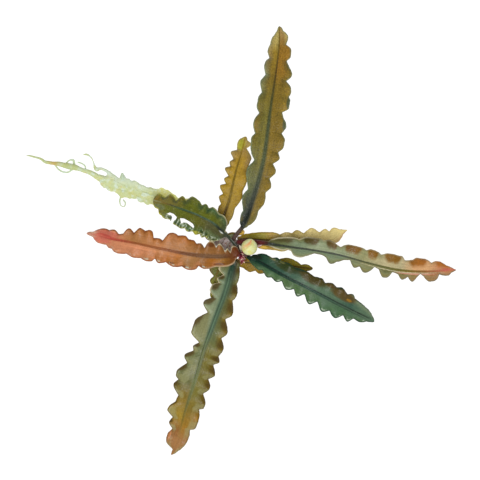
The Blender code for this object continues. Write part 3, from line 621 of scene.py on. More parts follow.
def grow_leaf(name, midrib, left, right, petiole, start, lift, ruffle, rib, halves, lobes,
              painted_flank_light, lines=(), spots=None, margin=("umber", ((0, 0.5),)), pale_rim=((0, 0.0),),
              crests=(), glints=((0, 0.0),), frill=(), ridge=-GROOVE_DEPTH, speckle=1.0):
    """One leaf, from its outline, its form and its pigments.

    The midrib is a list of places, and left and right are how far the blade reaches at a distance
    along it. Lift is how steeply each half rises from the midrib, and ruffle the height of the
    margin's waves. A ridge is what stands over the midrib, less than 0 for a groove. A frill is
    (from, to, height, side), with side -1 for the left margin.

    Halves and lobes are the pigments by distance along the leaf, for the left and the right. The
    rib adds how far left of the middle it runs and its half width. The lobes' sides get painted
    shade and painted light: one pigment on the sides that face away from the lamp and one on the
    sides that face it, and how strong each is. A line is (left of the middle, half width, how
    dark, from, to), and a spot is (distance, left of the middle, half length, half width).
    Margin is the pigment of the leaf's edge and how strong it is, by distance, for both halves or
    for the left and the right. The pale rim and the glints are the same for a cream edge with a
    painted highlight along it and for painted glints on the crests of the waves. Crests are the
    pigments of the patches on the lobes and how strong they are. Speckle is how grainy the skin is.
    """
    spots = spots or {}
    length = max(left[-1][0], right[-1][0])
    rings = round((length - start) / LEAF_RING_SPACING) + 1
    mesh, _, ring, angle = tubes(name, LEAF_SIDES, rings)
    distances = np.linspace(start, length, rings)
    rows, tangents = midrib_at(midrib, distances)
    run = np.hypot(tangents[:, 0], tangents[:, 1])
    to_right = np.stack([tangents[:, 1] / run, -tangents[:, 0] / run], 1)
    lean = np.minimum(np.hypot(1.0, tangents[:, 2] / run), STEEPEST_LEAN)[ring]
    blade = smoothstep((distances - min(left[0][0], right[0][0])) / BLADE_START_LENGTH)[ring]
    full = rounded_ends(distances, start, length, END_ROUNDING)[ring]
    place = distances[ring]

    across = section(angle)
    out = np.abs(across)
    side = np.sign(across)
    on_right = across > 0

    def per_side(measure, *settings):
        return np.where(
            on_right, measure(right, distances, *settings)[ring],
            measure(left, distances, *settings)[ring])

    reach = per_side(reach_at)
    wave = per_side(wave_at)
    width = petiole + (reach - petiole) * smoothstep(blade * WIDENING)
    width = np.maximum(width, NARROWEST_REACH)
    nibble = lumps(np.stack([place, side * SIDES_APART, blade], 1), NIBBLE_SIZE, len(name))
    aside = (np.sin(angle) * (1 - blade) + across * blade) * width * full
    aside += side * nibble * NIBBLE_DEPTH * blade * out**NIBBLE_POWER

    flare = np.minimum(1.0, width / FULL_RUFFLE_REACH)
    rise = np.where(on_right, lift[1], lift[0]) * width * out
    rise += ruffle * wave * flare * (out**RUFFLE_POWER * (1 - FOLD_SHARE) + out * FOLD_SHARE)
    curl = smoothstep((out - CURL_START) / (1 - CURL_START)) ** 2
    rise -= CURL_DEPTH * flare * (CURL_EVENNESS + (1 - CURL_EVENNESS) * wave) * curl
    crease = np.abs(lumps(np.stack([place, aside, 0 * place], 1), FRILL_SIZE, 5.0))
    raised, curls = frills_on(frill, place, side, out, crease)
    rise += raised

    to_tip = length - place
    thin = TIP_SHARE + (1 - TIP_SHARE) * smoothstep(to_tip / TIP_LENGTH)
    half = MARGIN_HALF_THICKNESS + (MIDDLE_HALF_THICKNESS - MARGIN_HALF_THICKNESS) * np.exp(
        -(aside / THICK_REACH) ** 2)
    half *= thin * np.sqrt(np.clip(1.0 - out**MARGIN_BLUNTNESS, 0.0, 1.0)) * full
    on_top = np.cos(angle) > 0
    steady = blade * smoothstep(to_tip / KEEL_FADE_LENGTH)
    from_rib = aside + read_along(rib, 1, place)
    over_rib = half + ridge * steady * np.exp(-(from_rib / GROOVE_WIDTH) ** 2)
    under_rib = -half - KEEL_DEPTH * steady * np.exp(-(aside / KEEL_WIDTH) ** 2)
    height = np.cos(angle) * petiole * full * (1 - blade)
    height += np.where(on_top, over_rib, under_rib) * blade
    floor = np.where(blade < 1.0, petiole, MIDDLE_HALF_THICKNESS * thin) * lean
    middle = np.maximum(rows[ring, 2] + rise * blade, floor)
    mould(mesh, np.stack([
        rows[ring, 0] + to_right[ring, 0] * aside, rows[ring, 1] + to_right[ring, 1] * aside,
        middle + height * lean], 1))

    normals = np.empty(len(mesh.vertices) * 3, np.float32)
    mesh.vertex_normals.foreach_get("vector", normals)
    normals = normals.reshape(-1, 3)
    note(mesh, "along", place)
    note(mesh, "aside", aside)
    note(mesh, "on_right", smoothstep(from_rib / HALF_BLEND + 0.5))
    note(mesh, "lobe", smoothstep((out - LOBE_START) / LOBE_FADE) * blade)
    note(mesh, "rib", np.exp(-(from_rib / read_along(rib, 2, place)) ** RIB_SHARPNESS))
    note(mesh, "line", lines_on(lines, place, from_rib))
    note(mesh, "below", smoothstep(BELOW_START - normals[:, 2] * BELOW_RISE) * ~on_top)
    # Painted light: how far the top of each lobe faces the lamp, for the finish's painted shade and
    # light.
    flank = -normals[:, 1] * on_top * smoothstep((out - FLANK_START) / FLANK_FADE) * blade
    note(mesh, "flank", flank)
    note(mesh, "vein_turn", (place - VEIN_SLANT * np.abs(aside)) * 2 * math.pi / VEIN_SPACING)
    # The frills' curls get painted highlights, and the gaps between them painted shade.
    note(mesh, "curls", curls * smoothstep((PALE_CREASE_WIDTH - crease) / PALE_CREASE_EDGE))
    note(mesh, "gaps", curls * smoothstep(
        (crease - PALE_CREASE_WIDTH - DARK_CREASE_START) / DARK_CREASE_EDGE))
    for spot, marks in spots.items():
        note(mesh, f"spot_{spot}", spots_on(marks, place, aside))

    past_margin = np.abs(aside) - width
    rim = blade * smoothstep((past_margin + MARGIN_LINE) / MARGIN_LINE * MARGIN_SHARPNESS)
    note(mesh, "margin", rim * read_sides(margin[1], place, on_right))
    # The pale rim: a cream edge with a painted highlight along it.
    pale = blade * smoothstep((past_margin + PALE_RIM) / PALE_RIM * PALE_RIM_SHARPNESS)
    note(mesh, "pale_rim", pale * read_sides(pale_rim, place, on_right))
    # Painted glints just inside the margin on the crests of the waves.
    glint = smoothstep((wave - GLINT_START) / GLINT_RISE) * (width > GLINT_LEAST_REACH)
    glint *= np.exp(-((past_margin + GLINT_INSET) / GLINT_WIDTH) ** 2)
    note(mesh, "glint", glint * on_top * blade * read_sides(glints, place, on_right))
    if crests:
        arch = smoothstep((per_side(wave_at, 0.0) - CREST_START) / CREST_RISE)
        away = np.hypot(1.0 - arch, CREST_REACH * (1.0 - out))
        note(mesh, "crest", (1.0 - away) * read_sides(crests[1], place, on_right))
    finish = leaf_finish(name, length, halves, lobes, rib, painted_flank_light, spots, crests, margin, speckle)
    return piece(name, mesh, finish)


grow_leaf(
    "leaf_top_long",
    midrib=(
        (-3.0, 1.7, 6.0), (-1.3, 4.3, 7.6), (1.0, 7.2, 9.4), (4.0, 16.0, 11.8), (7.5, 29.3, 13.0),
        (9.5, 42.7, 11.5), (11.7, 56.0, 7.5), (13.2, 68.7, 2.0), (13.2, 75.0, 0.1)),
    left=(
        (6.0, 0.7), (10.5, 2.3), (12.0, 2.0), (16.5, 3.4), (19.2, 2.4), (25.5, 4.4), (29.2, 2.7),
        (31.8, 4.2), (36.6, 4.9), (38.3, 3.9), (41.3, 4.9), (43.3, 4.5), (45.0, 3.5), (47.5, 4.7),
        (50.3, 4.6), (52.0, 3.8), (55.5, 4.8), (58.2, 3.4), (61.0, 4.3), (62.7, 4.0), (64.0, 3.0),
        (66.5, 3.8), (69.0, 3.0), (70.3, 2.9), (72.0, 1.9), (73.4, 1.0), (75.2, 0.2)),
    right=(
        (6.2, 0.7), (8.0, 1.5), (11.7, 3.1), (13.0, 3.0), (16.5, 4.3), (19.7, 3.7), (22.0, 4.9),
        (24.4, 3.7), (27.0, 5.2), (29.3, 3.7), (31.3, 5.5), (33.1, 4.7), (35.0, 6.2), (37.3, 6.3),
        (39.4, 5.0), (41.8, 6.2), (44.5, 4.9), (46.5, 4.1), (48.3, 6.1), (50.8, 6.1), (52.0, 5.4),
        (53.4, 5.9), (55.3, 5.4), (57.0, 3.8), (59.3, 5.4), (61.5, 4.2), (63.7, 3.0), (65.4, 4.2),
        (67.8, 3.9), (69.1, 2.3), (71.4, 2.9), (73.4, 1.4), (75.2, 0.1)),
    petiole=0.70, start=0.0, lift=(0.10, 0.16), ruffle=0.50,
    rib=((0, 0.0, 0.7, "plum_brown"), (5, 0.0, 0.7, "plum_brown"), (7, 0.2, 0.9, "ink"),
         (12, -0.1, 0.9, "ink"), (18, -0.3, 0.9, "slate"), (30, -0.35, 0.75, "fern"),
         (42, -0.25, 0.6, "fern"), (50, 0.05, 0.45, "dark_olive"), (60, 0.1, 0.3, "umber"),
         (72, 0.1, 0.2, "leaf_brown")),
    halves=(
        ((4, "plum_brown"), (7, "ink"), (13, "slate"), (18, "fern"), (23, "olive"), (30, "khaki"),
         (45, "khaki"), (58, "ochre"), (66, "gold"), (71, "straw")),
        ((4, "plum_brown"), (6, "olive"), (12, "leaf_brown"), (20, "leaf_brown"), (38, "ochre"),
         (55, "ochre"), (61, "amber"), (68, "amber"), (73, "sand"))),
    lobes=(
        ((6, "ink"), (10, "slate"), (15, "fern"), (20, "moss"), (28, "olive"), (34, "khaki"),
         (41, "ochre"), (50, "khaki"), (58, "stone"), (65, "sand"), (71, "straw")),
        ((7, "olive"), (16, "ochre"), (28, "ochre"), (42, "ochre"), (50, "gold"), (58, "ochre"),
         (62, "leaf_brown"), (67, "amber"), (73, "straw"))),
    painted_flank_light=("fern", "gold", 0.20, 0.20),
    lines=((1.3, 0.35, -0.12, 20, 70), (-1.4, 0.3, -0.12, 22, 68), (2.4, 0.3, 0.10, 25, 66),
           (-2.6, 0.3, 0.10, 25, 66)),
    spots={
        "amber": ((66.0, -2.4, 3.0, 1.6),),
        "fern": ((43.0, -5.6, 2.6, 0.8), (50.0, -5.6, 2.0, 0.7))},
    margin=("sage", ((0, 0.2), (20, 0.6, 0.3), (60, 0.6, 0.5), (70, 0.5))), speckle=1.3)

# The short leaf beside it. It is golden, its margins are cut into teeth like a saw's, and it turns
# dark where the blade narrows to the petiole.
grow_leaf(
    "leaf_top_small",
    midrib=(
        (-6.3, 3.3, 5.9), (-6.2, 6.7, 6.3), (-5.7, 9.3, 6.8), (-3.8, 16.0, 7.5), (-1.2, 26.0, 7.0),
        (1.0, 33.3, 5.0), (2.0, 37.3, 3.2)),
    left=(
        (5.0, 0.7), (7.5, 2.0), (9.8, 2.6), (11.1, 2.1), (13.2, 3.4), (14.6, 2.4), (17.0, 4.0),
        (18.1, 2.3), (19.5, 3.2), (20.8, 2.1), (22.9, 3.8), (24.0, 2.4), (25.2, 2.9), (26.5, 2.0),
        (28.6, 3.5), (29.9, 1.8), (32.0, 2.2), (33.2, 2.0), (34.2, 1.2), (35.0, 0.2)),
    right=(
        (2.6, 0.7), (4.6, 1.9), (6.4, 2.4), (8.5, 2.9), (11.0, 2.9), (15.2, 4.2), (17.0, 3.8),
        (20.0, 4.4), (24.0, 3.4), (28.2, 3.7), (31.2, 1.3), (32.9, 2.4), (33.8, 0.9), (35.0, 0.2)),
    petiole=0.65, start=0.0, lift=(0.12, 0.08), ruffle=0.6,
    rib=((0, 0.0, 0.5, "fern"), (10, -0.1, 0.5, "umber"), (14, -0.2, 0.5, "leaf_brown"),
         (22, 0.0, 0.35, "leaf_brown"), (28, 0.1, 0.28, "ochre"), (33, 0.1, 0.2, "gold")),
    halves=(
        ((2, "khaki"), (8, "gold"), (12, "gold"), (20, "golden"), (27, "golden"), (30, "sand"),
         (33, "straw")),
        ((2, "khaki"), (7, "gold"), (12, "gold"), (20, "golden"), (27, "golden"), (31, "sand"),
         (34, "straw"))),
    lobes=(
        ((5, "olive"), (10, "golden"), (20, "golden"), (28, "sand"), (31, "straw")),
        ((4, "ochre"), (12, "golden"), (22, "golden"), (28, "sand"), (31, "straw"))),
    painted_flank_light=("leaf_brown", "straw", 0.3, 0.25),
    lines=((-1.2, 0.3, -0.08, 10, 32),),
    spots={"lime": ((32.0, 0.8, 2.0, 1.2),)},
    margin=("olive", ((0, 0.4), (28, 0.4), (31, 0.0))))

# The dark leaf that arches over the rhizome. It curls down along both margins, its lower margin is
# rolled into ruffles with painted highlights on their curls and painted shade between them, and
# two gaps are torn in it.
TORN_SLIT = (
    (-19.9, 9.9), (-18.6, 9.8), (-16.9, 8.9), (-15.6, 8.0), (-15.2, 7.1), (-15.5, 6.6), (-16.4, 7.4),
    (-17.7, 8.4), (-18.8, 8.5), (-19.5, 8.1))
TORN_NOTCH = (
    (-24.3, 11.4), (-23.3, 11.8), (-22.0, 11.3), (-21.0, 10.3), (-21.2, 9.6), (-22.0, 9.0),
    (-22.6, 7.4), (-23.6, 7.6), (-22.8, 9.3), (-22.5, 10.3), (-22.9, 10.9), (-23.6, 11.0))
TEAR_BOTTOM = 3.0
TEAR_TOP = 24.0


def tear(leaf, outlines):
    """Cuts gaps of these outlines, seen from above, through a leaf."""
    cutters = []
    for outline in outlines:
        prism = bmesh.new()
        corners = [prism.verts.new(Vector((x, y, TEAR_BOTTOM)) * MM) for x, y in outline]
        raised = bmesh.ops.extrude_face_region(prism, geom=[prism.faces.new(corners)])
        lifted = [item for item in raised["geom"] if isinstance(item, bmesh.types.BMVert)]
        bmesh.ops.translate(
            prism, verts=lifted, vec=Vector((0.0, 0.0, TEAR_TOP - TEAR_BOTTOM)) * MM)
        bmesh.ops.recalc_face_normals(prism, faces=prism.faces)
        cutter = bpy.data.objects.new("cutter", bpy.data.meshes.new("cutter"))
        prism.to_mesh(cutter.data)
        prism.free()
        bpy.context.scene.collection.objects.link(cutter)
        cut = leaf.modifiers.new("tear", "BOOLEAN")
        cut.operation = "DIFFERENCE"
        cut.object = cutter
        cutters.append(cutter)
    torn = bpy.data.meshes.new_from_object(
        leaf.evaluated_get(bpy.context.evaluated_depsgraph_get()))
    leaf.modifiers.clear()
    leaf.data = torn
    for cutter in cutters:
        bpy.data.objects.remove(cutter)


curled = grow_leaf(
    "leaf_curled_dark",
    midrib=(
        (-0.7, -0.3, 6.3), (-3.3, 3.0, 9.8), (-5.7, 5.5, 13.0), (-7.7, 7.2, 15.4),
        (-13.3, 10.2, 16.6), (-20.0, 13.1, 13.8), (-25.0, 14.9, 10.2), (-29.0, 16.0, 7.0)),
    left=(
        (5.2, 0.8), (6.2, 2.4), (7.2, 3.9), (8.4, 5.0), (10.0, 5.4), (11.6, 4.9), (13.2, 5.8),
        (14.3, 5.0), (15.6, 5.9), (16.8, 5.3), (18.6, 6.1), (19.8, 5.5), (21.4, 6.0), (23.0, 5.7),
        (24.6, 5.4), (26.0, 4.6), (27.6, 4.9), (29.0, 4.3), (30.3, 3.7), (30.9, 2.5), (32.2, 2.2),
        (33.4, 0.6)),
    right=(
        (7.3, 0.8), (8.0, 2.3), (9.2, 3.7), (10.7, 4.3), (11.6, 4.0), (14.1, 5.0), (15.2, 4.0),
        (16.7, 4.9), (17.7, 4.0), (19.5, 5.0), (21.5, 5.3), (23.0, 3.4), (24.5, 4.3), (26.0, 2.3),
        (28.2, 3.5), (29.8, 2.1), (32.0, 2.6), (32.9, 1.6), (33.4, 0.6)),
    petiole=0.50, start=0.0, lift=(-0.38, -0.22), ruffle=0.85,
    rib=((0, 0.0, 0.3, "ink"), (5, 0.0, 0.3, "slate"), (7, 0.0, 0.4, "slate"), (9, 0.1, 0.45, "ink"),
         (12, -0.3, 0.32, "mist_teal"), (18, -0.4, 0.30, "mist_teal"), (23, -0.1, 0.30, "forest"),
         (27, 0.0, 0.35, "dark_olive"), (29, 0.0, 0.3, "leaf_brown"), (32, 0.0, 0.2, "stone")),
    halves=(
        ((1, "ink"), (3, "slate"), (5, "slate"), (8, "dark_olive"), (13, "dark_olive"),
         (16, "bronze_green"), (24, "grass"), (28, "grass"), (31, "khaki"), (33, "khaki")),
        ((1, "ink"), (3, "slate"), (5, "slate"), (8, "fern"), (12, "grass"), (22, "grass"),
         (26, "khaki"), (29, "khaki"), (33, "ochre"))),
    lobes=(
        ((6, "fern"), (9, "grass"), (13, "grass"), (19, "leaf_green"), (25, "moss"), (31, "khaki")),
        ((7, "fern"), (14, "leaf_green"), (20, "grass"), (27, "bronze"), (31, "khaki"))),
    painted_flank_light=("pine", "light_green", 0.45, 0.40),
    lines=((0.20, 0.34, 0.45, 7, 26),),
    spots={
        # The moss spot near the tip is a painted soft highlight, and the frost spots are painted
        # white highlights on the rim by the base and along the petiole.
        "moss": ((30.8, 1.7, 2.0, 1.0),),
        "lime": ((14.9, 5.3, 1.8, 0.8),),
        "frost": ((8.0, 0.5, 0.9, 0.24), (2.6, -0.22, 1.9, 0.10))},
    margin=("lime", ((0, 0.0), (9, 0.3, 0.2), (13, 0.95, 0.3), (22, 0.9, 0.3), (26, 0.5, 0.7),
                     (30, 0.9, 0.7), (33, 0.9, 0.5))),
    pale_rim=((0, 0.0), (6.0, 0.0), (7.0, 0.8), (9.0, 0.6), (10.0, 0.0, 0.6), (13.0, 0.0, 0.4),
              (15.0, 0.0)),
    frill=((5.8, 7.5, 0.5, -1), (7.7, 10.6, 0.7, -1), (11.2, 15.2, 0.6, -1), (16.6, 18.6, 0.5, -1),
           (19.2, 28.0, 0.3, -1)), ridge=0.10)
tear(curled, (TORN_SLIT, TORN_NOTCH))

# The copper leaf that points left. It is a new leaf, still red, with a pink tip, a red-brown midrib
# and cream lines round the lobes nearest the crown, partly its pale edge and partly a painted
# highlight. Painted glints lie on its lower lobes, and painted shade darkens the folds of its lobes.
grow_leaf(
    "leaf_left_copper",
    midrib=(
        (1.3, -2.7, 5.2), (-0.3, -1.8, 7.5), (-3.3, -2.2, 8.9), (-10.0, -2.4, 10.8),
        (-16.7, -1.7, 12.2), (-26.7, 0.1, 12.5), (-36.7, 2.0, 9.5), (-43.3, 3.2, 6.0),
        (-49.7, 4.7, 1.5), (-51.5, 5.0, 0.1)),
    left=(
        (1.4, 0.8), (2.6, 1.5), (3.6, 2.1), (5.3, 3.6), (7.0, 3.9), (9.6, 3.8), (13.0, 4.7),
        (14.9, 3.9), (15.8, 5.1), (18.1, 5.6), (20.3, 4.8), (22.7, 5.4), (25.6, 4.4), (28.0, 5.1),
        (29.4, 3.9), (30.4, 4.9), (32.2, 5.2), (34.0, 4.6), (36.5, 4.9), (39.0, 4.1), (41.5, 4.5),
        (43.0, 4.2), (44.2, 3.3), (45.2, 3.2), (46.3, 2.4), (48.5, 2.5), (50.0, 2.0), (51.2, 1.0),
        (53.6, 0.2)),
    right=(
        (1.6, 0.8), (3.3, 2.7), (4.7, 0.9), (5.7, 2.1), (6.5, 1.2), (7.4, 3.1), (8.6, 3.9),
        (9.5, 2.8), (10.6, 4.5), (11.5, 4.8), (12.5, 4.2), (13.6, 2.4), (15.0, 3.7), (16.5, 3.5),
        (17.7, 4.5), (19.2, 4.5), (20.8, 5.5), (23.2, 5.2), (24.7, 5.8), (26.0, 5.5), (28.0, 2.6),
        (29.3, 3.1), (31.0, 2.8), (31.9, 4.9), (32.8, 5.2), (34.3, 4.6), (36.0, 5.3), (37.8, 3.4),
        (39.6, 4.5), (41.3, 2.4), (42.7, 2.0), (44.6, 3.2), (46.4, 2.7), (47.6, 2.9), (49.5, 2.2),
        (51.2, 1.0), (53.6, 0.1)),
    petiole=0.65, start=1.0, lift=(-0.12, 0.10), ruffle=0.75,
    rib=((0, 0.0, 0.6, "maroon"), (4, 0.3, 0.7, "brick"), (8, 0.4, 0.75, "clay"),
         (13, 0.4, 0.7, "clay"), (20, 0.35, 0.55, "brick"), (28, 0.2, 0.5, "rust"),
         (36, 0.0, 0.4, "rust"), (45, 0.0, 0.5, "rose"), (50, 0.0, 0.6, "coral"),
         (53, 0.0, 0.3, "pink")),
    halves=(
        ((1, "maroon"), (4, "brick"), (7, "russet"), (11, "orange_brown"), (14, "burnt"),
         (18, "dark_copper"), (22, "orange"), (28, "light_copper"), (35, "salmon"), (41, "salmon"),
         (46, "salmon"), (50, "pink"), (53, "cream")),
        ((1, "maroon"), (4, "brick"), (8, "burnt"), (14, "burnt"), (20, "copper"),
         (30, "light_copper"), (38, "copper"), (43, "salmon"), (46, "coral"), (50, "pink"),
         (53, "cream"))),
    lobes=(
        ((3, "brick"), (7, "russet"), (11, "orange_brown"), (17, "dark_copper"), (26, "orange"),
         (32, "light_copper"), (40, "salmon"), (46, "salmon"), (51, "pink")),
        ((3, "brick"), (7, "burnt"), (14, "burnt"), (21, "orange"), (25, "light_copper"),
         (31, "orange"), (38, "copper"), (45, "salmon"), (51, "pink"))),
    painted_flank_light=("rust", "salmon", 0.95, 0.55),
    lines=((0.45, 0.18, 0.25, 4, 24), (-0.5, 0.2, 0.22, 6, 20), (-1.4, 0.4, -0.10, 10, 30),
           (1.3, 0.4, -0.14, 6, 44)),
    spots={
        # The brick spots are painted shade in the folds of the lobes.
        "brick": ((8.5, 3.0, 2.0, 0.45), (14.3, 3.9, 1.6, 0.35), (6.0, -2.2, 1.2, 0.7),
                  (11.5, -3.4, 1.4, 0.7), (19.5, 4.6, 1.4, 0.3), (23.8, 4.2, 1.2, 0.3)),
        "coral": ((46.5, -1.2, 4.0, 1.2), (48.0, 1.2, 3.0, 0.9)),
        "rose": ((47.6, -0.5, 2.6, 0.6),)},
    margin=("rust", ((0, 0.2), (8, 0.6, 0.9), (13, 0.9, 0.8), (40, 0.6, 0.6), (50, 0.2))),
    pale_rim=((0, 0.5, 1.0), (11, 0.5, 1.0), (14, 0.0, 0.2), (18, 0.0)),
    glints=((0, 0.0), (10, 0.0), (14, 1.0, 0.0), (40, 0.9, 0.0), (46, 0.0)), speckle=0.5)

# The long leaf that points down. Its middle is blue-green between two dark lines, its left lobes
# are brown with painted shade on their upper sides and painted light on their lower sides, and it
# turns ochre and tan towards the tip.
grow_leaf(
    "leaf_bottom_long",
    midrib=(
        (-1.3, -1.0, 5.5), (-1.7, -3.3, 5.2), (-3.0, -7.0, 5.5), (-5.0, -14.0, 7.3),
        (-8.7, -24.0, 9.8), (-12.2, -34.0, 11.0), (-15.0, -44.0, 10.0), (-18.3, -54.0, 6.8),
        (-20.8, -63.3, 2.6), (-23.0, -69.2, 0.1)),
    left=(
        (2.4, 0.8), (3.4, 1.9), (4.8, 2.5), (9.0, 3.5), (10.5, 3.3), (13.5, 4.3), (14.9, 4.2),
        (16.0, 3.6), (20.2, 5.2), (22.6, 3.6), (26.9, 5.7), (29.0, 4.5), (32.5, 6.3), (35.2, 5.5),
        (37.2, 6.3), (38.6, 4.6), (41.9, 6.0), (43.6, 4.2), (46.0, 5.6), (48.6, 4.1), (51.7, 5.9),
        (53.3, 5.7), (54.1, 4.5), (57.3, 5.3), (61.2, 4.7), (61.9, 3.3), (63.7, 3.6), (66.5, 3.2),
        (69.3, 1.8), (71.0, 0.7), (71.6, 0.2)),
    right=(
        (3.4, 0.8), (5.0, 2.2), (7.2, 4.0), (8.8, 2.0), (10.5, 3.6), (11.7, 2.8), (13.0, 4.6),
        (14.8, 4.9), (17.0, 3.0), (19.8, 5.4), (22.5, 2.9), (26.5, 5.9), (30.2, 5.8), (32.8, 2.2),
        (34.4, 3.6), (35.8, 3.2), (38.0, 5.6), (40.2, 4.1), (44.0, 6.7), (45.3, 6.6), (46.6, 5.4),
        (48.5, 6.4), (51.8, 3.7), (54.0, 4.0), (56.9, 5.8), (59.0, 3.4), (60.8, 4.2), (62.9, 2.7),
        (65.5, 3.7), (67.8, 3.2), (68.9, 1.8), (69.6, 0.3), (71.6, 0.2)),
    petiole=0.65, start=1.1, lift=(-0.10, 0.08), ruffle=0.85,
    rib=((0, 0.0, 0.8, "umber"), (5, 0.0, 1.0, "bottle"), (10, 0.2, 1.1, "mist_teal"),
         (18, 0.2, 1.1, "mist_teal"), (28, 0.2, 1.0, "mist_teal"), (35, 0.1, 0.8, "moss"),
         (45, 0.0, 0.7, "moss"), (52, 0.1, 0.5, "olive"), (60, 0.1, 0.4, "ochre"),
         (66, 0.0, 0.3, "dark_copper")),
    halves=(
        ((2, "umber"), (6, "slate"), (11, "fern"), (18, "olive"), (24, "olive"), (30, "moss"),
         (36, "khaki"), (50, "khaki"), (56, "ochre"), (61, "amber"), (66, "dark_copper")),
        ((2, "umber"), (6, "moss"), (11, "sage"), (23, "pale_sage"), (29, "stone"), (36, "moss"),
         (41, "stone"), (46, "olive"), (52, "ochre"), (58, "gold"), (63, "burnt"),
         (67, "dark_copper"))),
    lobes=(
        ((4, "moss"), (10, "olive"), (16, "leaf_brown"), (30, "leaf_brown"), (36, "bronze"),
         (52, "bronze"), (58, "amber"), (66, "dark_copper")),
        ((5, "leaf_brown"), (10, "sage"), (22, "pale_sage"), (28, "stone"), (34, "pale_olive"),
         (40, "moss"), (46, "olive"), (52, "ochre"), (58, "gold"), (64, "burnt"),
         (68, "dark_copper"))),
    painted_flank_light=("umber", "pale_olive", 0.85, 0.55),
    lines=((0.55, 0.24, 0.36, 6, 44), (-0.4, 0.24, 0.40, 4, 46), (0.08, 0.16, -0.18, 8, 34),
           (1.6, 0.7, 0.06, 10, 50), (-1.6, 0.7, 0.05, 10, 50)),
    spots={
        # The stone spots are pale patches; the one at 44.5 mm is a painted highlight.
        "stone": ((44.5, -3.2, 2.6, 1.2), (26.0, -2.8, 4.0, 1.2)),
        "light_copper": ((65.0, -3.0, 1.8, 0.5),)},
    margin=("umber", ((0, 0.4), (60, 0.6), (68, 0.2))),
    pale_rim=((4, 0.0), (5, 0.0, 0.9), (15, 0.0, 0.9), (17, 0.0)),
    glints=((0, 0.0), (20, 0.0, 0.25), (60, 0.0, 0.25), (66, 0.0)), speckle=0.4)

# The blue-green leaf that points right and down. It is the darkest blade, nearly black by the
# crown, with a brown-olive upper margin.
grow_leaf(
    "leaf_right_dark",
    midrib=(
        (1.0, -1.7, 5.3), (2.7, -3.0, 6.6), (6.0, -4.5, 8.4), (13.3, -8.7, 11.0), (23.3, -13.8, 12.0),
        (33.3, -19.0, 8.3), (40.0, -22.3, 3.9), (45.0, -24.7, 0.1)),
    left=(
        (2.2, 0.7), (4.6, 2.0), (7.3, 3.4), (9.2, 3.4), (10.6, 4.3), (12.6, 4.1), (15.0, 4.6),
        (17.4, 4.3), (19.6, 4.8), (22.2, 4.9), (24.6, 4.5), (27.3, 5.1), (28.8, 4.3), (31.0, 5.3),
        (32.9, 4.8), (34.6, 5.5), (37.3, 4.4), (38.9, 5.2), (40.3, 4.2), (42.0, 3.9), (44.5, 3.2),
        (46.5, 2.6), (47.8, 1.7), (49.6, 0.2)),
    right=(
        (2.2, 0.7), (3.5, 1.2), (5.2, 2.0), (7.3, 2.4), (8.3, 1.8), (11.0, 3.1), (12.3, 2.4),
        (14.3, 2.9), (15.8, 1.8), (18.3, 3.6), (20.5, 2.4), (22.5, 4.0), (24.4, 2.3), (27.2, 4.5),
        (29.4, 2.5), (32.3, 4.7), (34.4, 3.3), (36.9, 4.7), (39.2, 2.7), (41.2, 3.9), (42.8, 2.1),
        (44.8, 2.3), (47.0, 1.2), (49.6, 0.1)),
    petiole=0.65, start=1.7, lift=(0.05, -0.18), ruffle=0.6,
    rib=((0, 0.0, 0.6, "ink"), (6, 0.0, 0.6, "bottle"), (14, 0.15, 0.6, "bottle"),
         (20, 0.1, 0.6, "deep_teal"), (28, 0.1, 0.6, "teal"), (46, 0.05, 0.5, "mist_teal")),
    halves=(
        ((2, "ink"), (5, "bottle"), (11, "deep_teal"), (17, "teal"), (24, "mist_teal"),
         (34, "mist_teal"), (40, "teal"), (44, "mist_teal"), (48, "mist_teal")),
        ((2, "bottle"), (6, "pine"), (10, "forest"), (17, "leaf_green"), (25, "leaf_green"),
         (31, "mist_teal"), (38, "forest"), (46, "mist_teal"))),
    lobes=(
        ((4, "bottle"), (9, "pine"), (14, "dark_moss"), (20, "dark_bronze"), (26, "dark_bronze"),
         (30, "dark_olive"), (37, "umber"), (40, "sage"), (46, "sage")),
        ((5, "leaf_green"), (10, "light_green"), (18, "light_green"), (26, "leaf_green"),
         (36, "forest"), (45, "leaf_green"))),
    painted_flank_light=("bottle", "light_green", 0.75, 0.20),
    lines=((0.28, 0.24, 0.80, 3, 49), (-0.42, 0.18, 0.50, 6, 48), (1.6, 0.6, -0.06, 14, 44)),
    spots={
        "dark_moss": ((14.5, 3.0, 4.4, 1.4),),
        "dark_bronze": ((24.5, 3.5, 4.2, 1.7),),
        "umber": ((36.5, 3.3, 4.6, 1.6), (31.0, 4.4, 1.8, 0.8)),
        "olive": ((9.4, 3.2, 1.2, 0.4), (12.9, 3.8, 1.0, 0.4)),
        "amber": ((38.7, 2.7, 1.0, 0.4),),
        "ink": ((4.2, 1.4, 2.4, 0.9),)},
    margin=("bottle", ((0, 0.3), (12, 0.3, 0.75), (44, 0.3, 0.7))),
    glints=((0, 0.0), (11, 0.0), (15, 0.0, 0.8), (44, 0.0, 0.8)), speckle=0.5)

